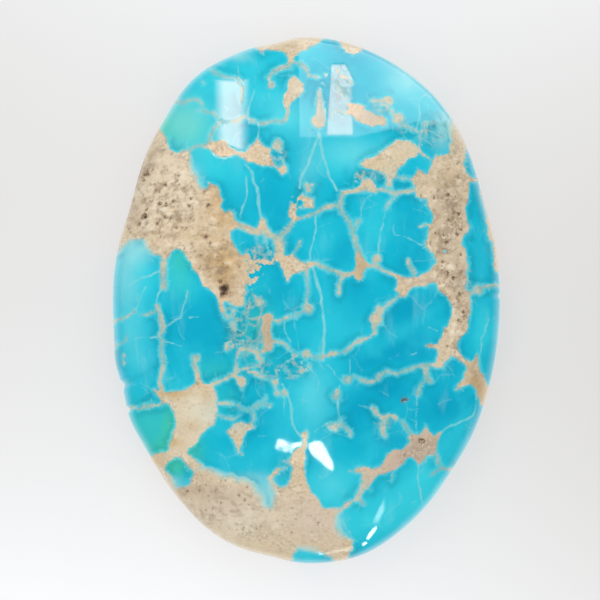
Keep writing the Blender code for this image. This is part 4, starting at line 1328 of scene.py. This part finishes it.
@dataclass(frozen=True)
class HostRockFinish:
    """The pale host rock: its colours, how much of each shows, and how matt it is.

    Shares and spans are as in the turquoise.
    """

    tan: tuple = colour(220, 201, 169)
    shade: tuple = colour(186, 163, 132)
    cream: tuple = colour(235, 224, 200)
    ochre: tuple = colour(202, 168, 110)
    pink: tuple = colour(210, 188, 172)
    speck: tuple = colour(150, 128, 106)
    # The crevices' brown, which is also laid in the lumps' hollows as painted shade
    crevice_and_shade: tuple = colour(158, 136, 106)
    pit: tuple = colour(126, 100, 76)
    dark: tuple = colour(64, 46, 32)
    roughness: float = 0.08
    coarse_roughness: float = 0.78

    grain_pitch: float = 0.24
    mottle_pitch: float = 1.2
    contrast_least: float = 0.35
    contrast_share: float = 0.5
    contrast_span: tuple = (0.40, 0.62)
    dark_grain_span: tuple = (0.54, 0.38)
    pale_grain_span: tuple = (0.54, 0.66)
    pale_grain_share: float = 0.7
    pale_mottle_span: tuple = (0.50, 0.72)
    pale_mottle_share: float = 0.5

    cream_share: float = 0.75
    ochre_share: float = 0.95
    pink_share: float = 0.8
    # The coarse rock's lumps get painted highlight in cream on their tops and painted shade in their
    # hollows, read off the stored relief
    lit_hump_span: tuple = (0.52, 0.64)
    lit_hump_share: float = 0.8
    shaded_hollow_span: tuple = (0.49, 0.38)
    shaded_hollow_share: float = 0.7

    bedding_fit: tuple = ((0.7, 1.3, 1.0), 0.15)
    crevice_pitch: float = 1.15
    crevice_bend: float = 0.8
    crevice_span: tuple = (0.16, 0.0)
    crevice_mottle_span: tuple = (0.44, 0.58)
    crevice_least: float = 0.05
    crevice_coarse: float = 0.6

    dust_span: tuple = (0.40, 0.54)
    dust_share: float = 0.85
    rim_span: tuple = (0.14, 0.02)
    rim_mottle_span: tuple = (0.46, 0.62)
    rim_share: float = 0.5
    speck_pitch: float = 0.42
    speck_span: tuple = (0.34, 0.12)
    speck_mottle_span: tuple = (0.38, 0.6)
    speck_least: float = 0.3
    speck_coarse: float = 0.4
    speck_speckled: float = 0.3

    # How deep pits are where they turn brown and then dark: partly the pits' dark fill, partly painted
    # shade in them
    pit_span: tuple = (0.02, 0.3)
    pit_grain_span: tuple = (0.36, 0.54)
    dark_pit_span: tuple = (0.4, 0.9)


@dataclass
class StoneMaterial:
    """The finish of the whole stone, turquoise and host rock together."""

    turquoise: TurquoiseFinish = field(default_factory=TurquoiseFinish)
    rock: HostRockFinish = field(default_factory=HostRockFinish)
    edge_softness: float = 0.07
    fuzz_softness: float = 0.55
    edge_grain: float = 0.22
    breakage: float = 1.6
    # Noises that cut small crumbs: their lumps for each millimetre, and their span
    breakage_scale: float = 1.9
    breakage_span: tuple = (0.44, 0.56)
    crumb_scale: float = 2.0
    crumb_span: tuple = (0.56, 0.64)
    crumb_share: float = 0.6
    veiled_share: float = 0.8

    # Narrow seams take a veil of turquoise: outside the patches, and not in the seams' middles
    seam_span: tuple = (0.05, -0.25)
    seam_edge_span: tuple = (0.50, 0.10)
    seam_least: float = 0.25
    seam_share: float = 0.45
    seam_mottle_span: tuple = (0.40, 0.60)

    crackle_pitch: float = 1.15
    crackle_bend: float = 0.5
    crackle_line_span: tuple = (0.14, 0.03)
    crackle_mottle_span: tuple = (0.38, 0.54)
    crackle_line_share: float = 0.55
    crackle_span: tuple = (0.3, 0.8)

    spike_length: float = 0.16
    spike_pitch: float = 0.20
    spike_span: tuple = (0.52, 0.78)
    spike_mottle_span: tuple = (0.46, 0.58)

    sawn_roughness: float = 0.7
    sawn_span: tuple = (0.3, 0.9)
    broken_roughness: float = 0.5
    refraction: float = 1.6
    grain_height: float = 0.06 * MM
    grain_strength: float = 0.2
    coarse_strength: float = 0.6

    def build(self) -> bpy.types.Material:
        """Makes the material, which reads the pattern that the stone carries.

        Returns:
            The material.
        """
        made = bpy.data.materials.new("polished_turquoise_in_host_rock")
        tree = ShaderTree(made)
        stone, blue = self.rock, self.turquoise
        place = tree.scaled(tree.read("ShaderNodeTexCoord", output="Object"), 1.0 / MM)
        grain = tree.noise(place, 1.0 / stone.grain_pitch, 4.0, 0.65)
        mottle = tree.noise(place, 1.0 / stone.mottle_pitch, 3.0)
        host = tree.stored("host") + (grain - 0.5) * self.edge_grain + self.spikes(tree, mottle)
        broken = tree.noise(place, self.breakage_scale, 3.0).rise(*self.breakage_span)
        host = host - tree.stored(Cast.BROKEN.value) * broken * self.breakage
        softness = self.edge_softness + tree.stored(Cast.FUZZ.value) * self.fuzz_softness
        crackle = self.crackle(tree, place, mottle)
        unveiled = 1.0 - tree.stored(Cast.VEILED.value) * self.veiled_share
        is_rock = host.rise(0.0 - softness, softness).at_least(crackle) * unveiled
        body = self.turquoise_colour(tree, place, host)
        seam = tree.stored("patch").rise(*self.seam_span) * host.rise(*self.seam_edge_span)
        seam = seam * (self.seam_least + mottle.rise(*self.seam_mottle_span) * self.seam_share)
        rock = tree.mix(seam, self.rock_colour(tree, place, host, grain, mottle), blue.veil)
        pit = tree.stored("pit")
        base = tree.layered(
            tree.mix(is_rock, body, rock),
            # Pits turn brown and then dark: partly their dark fill, partly painted shade in their hollows
            (pit.rise(*stone.pit_span) * grain.rise(*stone.pit_grain_span), stone.pit),
            (pit.rise(*stone.dark_pit_span), stone.dark),
        )
        sawn = tree.stored("sawn").rise(*self.sawn_span)
        coarse = tree.stored(Cast.COARSE.value)
        polish = blue.roughness + (self.sawn_roughness - blue.roughness) * sawn
        matt = stone.roughness + (stone.coarse_roughness - stone.roughness) * coarse
        height = tree.noise(place, 1.0 / stone.grain_pitch, 5.0, 0.7) * is_rock
        bump = tree.read("ShaderNodeBump", {}, {
            "Strength": self.grain_strength + coarse * self.coarse_strength,
            "Distance": self.grain_height,
            "Height": height,
        })
        tree.show("ShaderNodeBsdfPrincipled", {
            "Base Color": base,
            "Roughness": polish + (matt - polish) * is_rock + (crackle + pit) * self.broken_roughness,
            "IOR": self.refraction,
            "Normal": bump,
        })
        return made

    def spikes(self, tree: ShaderTree, mottle: Term) -> Term:
        """How far fine spikes of host rock run out from its edges, in some stretches of them."""
        sockets = {"W": tree.stored("along"), "Scale": 1.0 / self.spike_pitch, "Detail": 1.0}
        comb = tree.read("ShaderNodeTexNoise", {"noise_dimensions": "1D"}, sockets)
        return comb.rise(*self.spike_span) * mottle.rise(*self.spike_mottle_span) * self.spike_length

    def crackle(self, tree: ShaderTree, place: Term, mottle: Term) -> Term:
        """Broken host-rock crackle, 1 on its lines, where the pattern has crackle."""
        lines = tree.cracks(place, self.crackle_pitch, self.crackle_bend).rise(*self.crackle_line_span)
        lines = lines * mottle.rise(*self.crackle_mottle_span) * self.crackle_line_share
        crumbs = tree.noise(place, self.crumb_scale, 3.0).rise(*self.crumb_span) * self.crumb_share
        return (lines + crumbs) * tree.stored(Cast.CRACKLE.value).rise(*self.crackle_span)

    def turquoise_colour(self, tree: ShaderTree, place: Term, host: Term) -> Term:
        """Works out the turquoise's colour, with its clouds, casts, shades, halos and threads, and painted
        sheen near the rims.

        Args:
            tree: The material's tree.
            place: Places in millimetres.
            host: How deep they lie in host rock.

        Returns:
            The colour.
        """
        blue = self.turquoise
        clouds = tree.noise(place, 1.0 / blue.cloud_pitch, 3.0)
        wisps = tree.noise(tree.fitted(place, *blue.wisp_fit), 1.0 / blue.wisp_pitch, 3.0)
        mottle = tree.noise(place, 1.0 / blue.mottle_pitch, 4.0, 0.6)
        deep = tree.stored(Cast.DEEP.value) * blue.deep_share
        light = tree.stored(Cast.LIGHT.value) * blue.light_share
        milky = tree.stored(Cast.MILKY_AND_SHEEN.value) * blue.milky_share
        beside = host.rise(*blue.beside_outer_span) * host.rise(*blue.beside_inner_span)
        beside = beside * clouds.rise(*blue.beside_cloud_span) * blue.beside_share
        dusk = blue.dusk_least + mottle.rise(*blue.dusk_span) * blue.dusk_share
        halo = blue.halo_least + wisps.rise(*blue.halo_wisp_span) * blue.halo_share
        fuzz = tree.stored(Cast.FUZZ.value)
        cracks = tree.cracks(place, blue.hairline_pitch, blue.hairline_bend)
        hairlines = cracks.rise(*blue.hairline_span) * wisps.rise(*blue.hairline_wisp_span)
        thread = blue.thread_least + mottle.rise(*blue.thread_mottle_span) * blue.thread_share
        thread = tree.stored("thread").rise(*blue.thread_span) * thread
        return tree.layered(
            blue.sky,
            (deep + clouds.rise(*blue.dark_cloud_span) * blue.cloud_share, blue.deep),
            # The light and milky layers are partly painted sheen near the rims and in the north-east
            (light + clouds.rise(*blue.pale_cloud_span) * blue.cloud_share, blue.light),
            (tree.stored(Cast.GREEN.value), blue.green),
            (milky + wisps.rise(*blue.wisp_span) * blue.wisp_share, blue.milky),
            (beside + tree.stored(Cast.CRACKLE.value) * dusk, blue.shade),
            (host.rise(*blue.halo_span) * halo, blue.halo),
            (host.rise(0.0 - fuzz * blue.fuzz_width, 0.0) * fuzz, blue.milky),
            (thread.at_least(hairlines * blue.hairline_share), blue.thread),
        )

    def rock_colour(self, tree: ShaderTree, place: Term, host: Term, grain: Term, mottle: Term) -> Term:
        """Works out the host rock's colour, with its grain, casts, specks and crevices, and the painted
        highlight and shade that follow its relief.

        Args:
            tree: The material's tree.
            place: Places in millimetres.
            host: How deep they lie in host rock.
            grain: The fine noise that the rock's grain follows.
            mottle: The coarse noise that its strength follows.

        Returns:
            The colour.
        """
        stone = self.rock
        coarse = tree.stored(Cast.COARSE.value)
        speckled = tree.stored(Cast.SPECKLED.value)
        relief = tree.stored("relief")
        contrast = stone.contrast_least + mottle.rise(*stone.contrast_span) * stone.contrast_share
        bedding = tree.fitted(place, *stone.bedding_fit)
        crevices = tree.cracks(bedding, stone.crevice_pitch, stone.crevice_bend).rise(*stone.crevice_span)
        crevices = crevices * mottle.rise(*stone.crevice_mottle_span)
        spots = tree.read("ShaderNodeTexVoronoi", {}, {"Vector": place, "Scale": 1.0 / stone.speck_pitch})
        specks = spots.rise(*stone.speck_span) * mottle.rise(*stone.speck_mottle_span)
        speck_share = stone.speck_least + coarse * stone.speck_coarse + speckled * stone.speck_speckled
        rim = host.rise(*stone.rim_span) * mottle.rise(*stone.rim_mottle_span)
        return tree.layered(
            stone.tan,
            (grain.rise(*stone.dark_grain_span) * contrast, stone.shade),
            (grain.rise(*stone.pale_grain_span) * contrast * stone.pale_grain_share, stone.cream),
            (mottle.rise(*stone.pale_mottle_span) * stone.pale_mottle_share, stone.cream),
            (tree.stored(Cast.CREAM.value) * stone.cream_share, stone.cream),
            (tree.stored(Cast.OCHRE.value) * stone.ochre_share, stone.ochre),
            (tree.stored(Cast.PINK.value) * stone.pink_share, stone.pink),
            # Painted highlight on the lumps' tops and painted shade in their hollows
            (relief.rise(*stone.lit_hump_span) * coarse * stone.lit_hump_share, stone.cream),
            (relief.rise(*stone.shaded_hollow_span) * coarse * stone.shaded_hollow_share, stone.crevice_and_shade),
            (crevices * (stone.crevice_least + coarse * stone.crevice_coarse), stone.crevice_and_shade),
            (grain.rise(*stone.dust_span) * speckled * stone.dust_share, stone.speck),
            (rim * stone.rim_share, stone.speck),
            (specks * speck_share, stone.speck),
        )


@dataclass
class Cabochon:
    """The whole stone: cut, patterned, worn and finished as one piece."""

    oval: Oval = field(default_factory=Oval)
    pattern: Pattern = field(default_factory=Pattern)
    wear: Wear = field(default_factory=Wear)
    finish: StoneMaterial = field(default_factory=StoneMaterial)
    node: str = "turquoise_stone"
    slot: str = "turquoise"

    def build(self) -> bpy.types.Object:
        """Makes the stone in place of its solid.

        Returns:
            The stone.
        """
        material = self.finish.build()
        stone = self.oval.drum()
        self.oval.cut(stone, material)
        self.pattern.lay_on(stone.data, self.oval)
        self.wear.apply(stone, material)
        self.fit(stone.data)
        stone.data.shade_smooth()
        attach(stone, "root")
        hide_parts(self.node)
        return stone

    def fit(self, mesh: bpy.types.Mesh) -> None:
        """Brings the worn stone exactly to the box of the solid that it stands for."""
        low, high = (np.array(corner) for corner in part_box(self.node))
        places = read_places(mesh)
        own_low, own_high = places.min(0), places.max(0)
        places = low + (places - own_low) * (high - low) / (own_high - own_low)
        mesh.vertices.foreach_set("co", places.astype(np.float32).ravel())
        mesh.update()


@dataclass
class Table:
    """The pale, softly lit sheet that the stone lies on."""

    half_size: float = 1.2
    drop: float = 0.02 * MM
    glow: float = 0.75
    half_view: float = 22.8 * MM
    dim: tuple = colour(216, 214, 211)
    bright: tuple = colour(250, 251, 253)
    # The sheet's brightness from dim to bright: in the middle, how it drifts across the view, and
    # far out, with the squared distances, in half views, between which it evens out
    middle_level: float = 0.47
    fall_right: float = 0.11
    fall_up: float = 0.09
    twist: float = 0.14
    bow_up: float = 0.34
    bow_right: float = 0.13
    far_level: float = 0.6
    far_span: tuple = (2.0, 9.0)

    def build(self) -> bpy.types.Object:
        """Makes the sheet, whose brightness drifts a little.

        Returns:
            The sheet.
        """
        bpy.ops.mesh.primitive_plane_add(size=2.0 * self.half_size, location=(0.0, 0.0, -self.drop))
        sheet = bpy.context.object
        sheet.name = "table"
        made = bpy.data.materials.new("lit_sheet")
        tree = ShaderTree(made)
        place = tree.scaled(tree.read("ShaderNodeTexCoord", output="Object"), 1.0 / self.half_view)
        sides = tree.node("ShaderNodeSeparateXYZ", {}, {0: place})
        away = (tree.term(sides, 0) ** 2.0 + tree.term(sides, 1) ** 2.0).rise(*self.far_span)
        right, up = (tree.term(sides, axis).at_least(-1.0).at_most(1.0) for axis in range(2))
        level = self.middle_level - right * self.fall_right - up * self.fall_up + right * up * self.twist
        level = level + up ** 2.0 * self.bow_up - right ** 2.0 * self.bow_right
        level = level + (self.far_level - level) * away
        paper = tree.mix(level, self.dim, self.bright)
        diffuse = tree.read("ShaderNodeBsdfDiffuse", {}, {"Color": paper})
        glow = tree.read("ShaderNodeEmission", {}, {"Color": paper})
        tree.show("ShaderNodeMixShader", {0: self.glow, 1: diffuse, 2: glow})
        sheet.data.materials.append(made)
        sheet.visible_glossy = False
        return sheet


@dataclass
class Panel:
    """A lit panel that shows only as its reflection in the polished face.

    Its outline is given as the reflection is seen, in millimetres on the face, and the panel is put
    where the face mirrors it from. It fades over the outer share of its size that soft gives, and
    soft_ends says how much of that goes for its top and bottom.
    """

    name: str
    brightness: float
    outline: tuple
    soft: float = 0.0
    soft_ends: float = 1.0
    tint: tuple = WHITE
    distance: float = 0.8
    spacing: float = 0.25
    heart: float = 0.02
    fade_power: float = 1.5

    def edge(self) -> list[Vector]:
        """The outline with further points along its straight sides."""
        points = []
        for start, end in zip(self.outline, self.outline[1:] + self.outline[:1]):
            first, last = Vector(start), Vector(end)
            parts = max(1, round((last - first).length / self.spacing))
            points.extend(first.lerp(last, part / parts) for part in range(parts))
        return points

    def build(self, oval: Oval, eye: Vector) -> bpy.types.Object:
        """Hangs the panel.

        Args:
            oval: The form that it is mirrored in.
            eye: Where its reflection is seen from.

        Returns:
            The panel.
        """
        edge = self.edge()
        middle = sum(edge, Vector((0.0, 0.0))) / len(edge)
        inner = Vector((1.0 - self.soft, 1.0 - self.soft * self.soft_ends))
        heart = Vector((self.heart, self.heart))
        rings = ((Vector((1.0, 1.0)), 0.0 if self.soft else 1.0), (inner, 1.0), (heart, 1.0))
        corners = []
        shares = []
        for size, share in rings:
            for spot in edge:
                x, y = (middle + (spot - middle) * size) * MM
                point, direction = oval.mirrored(x, y, eye)
                corners.append(point + direction * self.distance)
                shares.append(share)
        count = len(edge)
        faces = [tuple(range(count * len(rings) - count, count * len(rings)))]
        for ring in range(len(rings) - 1):
            for number in range(count):
                here, there = ring * count + number, ring * count + (number + 1) % count
                faces.append((here, there, there + count, here + count))
        mesh = bpy.data.meshes.new(self.name)
        mesh.from_pydata(corners, [], faces)
        store(mesh, "lit", np.array(shares))
        made = bpy.data.materials.new(self.name)
        tree = ShaderTree(made)
        shown = tree.mix(tree.stored("lit") ** self.fade_power, BLACK, self.tint)
        tree.show("ShaderNodeEmission", {"Color": shown, "Strength": self.brightness})
        mesh.materials.append(made)
        panel = add_object(self.name, mesh)
        panel.visible_camera = False
        panel.visible_diffuse = False
        panel.visible_shadow = False
        return panel


@dataclass
class Studio:
    """Soft even light from all round, a window's light from the top, and the camera overhead."""

    sky_light: float = 0.97
    sheen: float = 1.0
    sheen_top: float = -0.28
    sheen_bottom: float = -0.75
    window_power: float = 0.8
    window_size: float = 0.45
    window_place: tuple = (-0.12, 0.58, 0.5)
    camera_height: float = 1.2
    camera_reach: tuple = (0.05, 10.0)
    view_width: float = 45.6 * MM
    view_x: float = -0.48 * MM
    view_y: float = 0.02 * MM
    focus_height: float = 2.2 * MM
    panels: tuple = (
        Panel("bright_north", 2.1, (
            (-0.5, 12.35), (3.6, 12.35), (6.6, 13.0), (8.6, 13.6), (10.98, 13.56), (9.45, 15.51),
            (7.46, 17.21), (5.55, 18.35), (3.62, 19.18), (0.0, 19.77), (-0.6, 19.74),
        ), distance=1.1),
        Panel("window_left", 10.5, (
            (-7.1, 16.8), (-7.1, 11.3), (-4.2, 11.3), (-4.2, 16.8),
        ), soft=0.6, soft_ends=0.15, tint=WINDOW_TINT),
        Panel("window_right", 10.5, (
            (1.9, 18.0), (1.5, 12.4), (3.55, 12.4), (3.5, 17.0), (3.0, 18.0),
        ), soft=0.08, tint=WINDOW_TINT),
        Panel("lamp_left", 18.0, (
            (-2.3, -11.2), (-1.6, -10.95), (-0.9, -10.8), (-0.2, -10.7), (-0.3, -11.15), (-1.1, -11.4),
            (-1.8, -11.45),
        )),
        Panel("lamp_right", 18.0, (
            (0.2, -10.85), (0.6, -10.7), (1.0, -10.65), (1.2, -10.8), (1.6, -11.5), (2.0, -12.3),
            (2.05, -12.8), (1.9, -12.9), (1.5, -12.6), (0.9, -12.05), (0.35, -11.6), (0.15, -11.2),
        )),
        Panel("lamp_low_glow", 5.0, (
            (6.0, -14.7), (6.1, -15.8), (5.5, -17.0), (5.1, -17.3), (4.9, -17.0), (5.4, -15.8),
        ), soft=0.6),
        Panel("lamp_low", 14.0, (
            (5.3, -17.0), (5.4, -17.3), (5.0, -17.9), (4.7, -18.25), (4.5, -18.2), (4.7, -17.7),
        ), soft=0.2),
        Panel("rim_glint", 14.0, ((4.2, -18.45), (4.6, -18.3), (4.65, -18.5), (4.3, -18.7)), soft=0.2),
        Panel("rim_glints_east", 8.0, ((2.4, -19.0), (3.4, -18.7), (3.5, -18.85), (2.5, -19.2)), soft=0.2),
        Panel("rim_glints_west", 8.0, ((0.9, -19.15), (1.6, -19.1), (1.6, -19.3), (0.9, -19.35)), soft=0.2),
    )

    def build(self, oval: Oval) -> None:
        """Lights the stone, sets up the camera, and hangs the panels that the oval mirrors."""
        scene = bpy.context.scene
        scene.view_settings.view_transform = "Standard"
        scene.world = self.sky()
        lamp = bpy.data.lights.new("window_light", "AREA")
        lamp.size = self.window_size
        lamp.energy = self.window_power
        window = add_object("window_light", lamp)
        window.location = self.window_place
        window.rotation_euler = (-window.location).to_track_quat("-Z", "Y").to_euler()
        window.visible_glossy = False
        eye = Vector((self.view_x, self.view_y, self.focus_height + self.camera_height))
        camera = bpy.data.cameras.new("camera")
        camera.lens = camera.sensor_width * self.camera_height / self.view_width
        camera.clip_start, camera.clip_end = self.camera_reach
        seen = add_object("camera", camera)
        seen.location = eye
        scene.camera = seen
        for panel in self.panels:
            panel.build(oval, eye)

    def sky(self) -> bpy.types.World:
        """Makes the white surroundings, which the polish mirrors only from low down.

        Returns:
            The surroundings.
        """
        world = bpy.data.worlds.new("soft_light")
        tree = ShaderTree(world)
        direction = tree.read("ShaderNodeTexCoord", output="Generated")
        up = tree.read("ShaderNodeSeparateXYZ", {}, {0: direction}, 2)
        glossy = tree.read("ShaderNodeLightPath", output="Is Glossy Ray")
        mirrored = up.rise(self.sheen_top, self.sheen_bottom) * self.sheen
        strength = self.sky_light + (mirrored - self.sky_light) * glossy
        tree.show("ShaderNodeBackground", {"Strength": strength, "Color": WHITE}, "ShaderNodeOutputWorld")
        return world


def main() -> None:
    """Builds the stage and the stone, and reports each piece."""
    logging.basicConfig(level=logging.INFO, format="%(name)s: %(message)s")
    cabochon = Cabochon()
    Studio().build(cabochon.oval)
    LOG.info("lights and camera in place")
    Table().build()
    LOG.info("table in place")
    stone = cabochon.build()
    LOG.info("%s: %d corners, %d faces", stone.name, len(stone.data.vertices), len(stone.data.polygons))


if __name__ == "__main__":
    main()
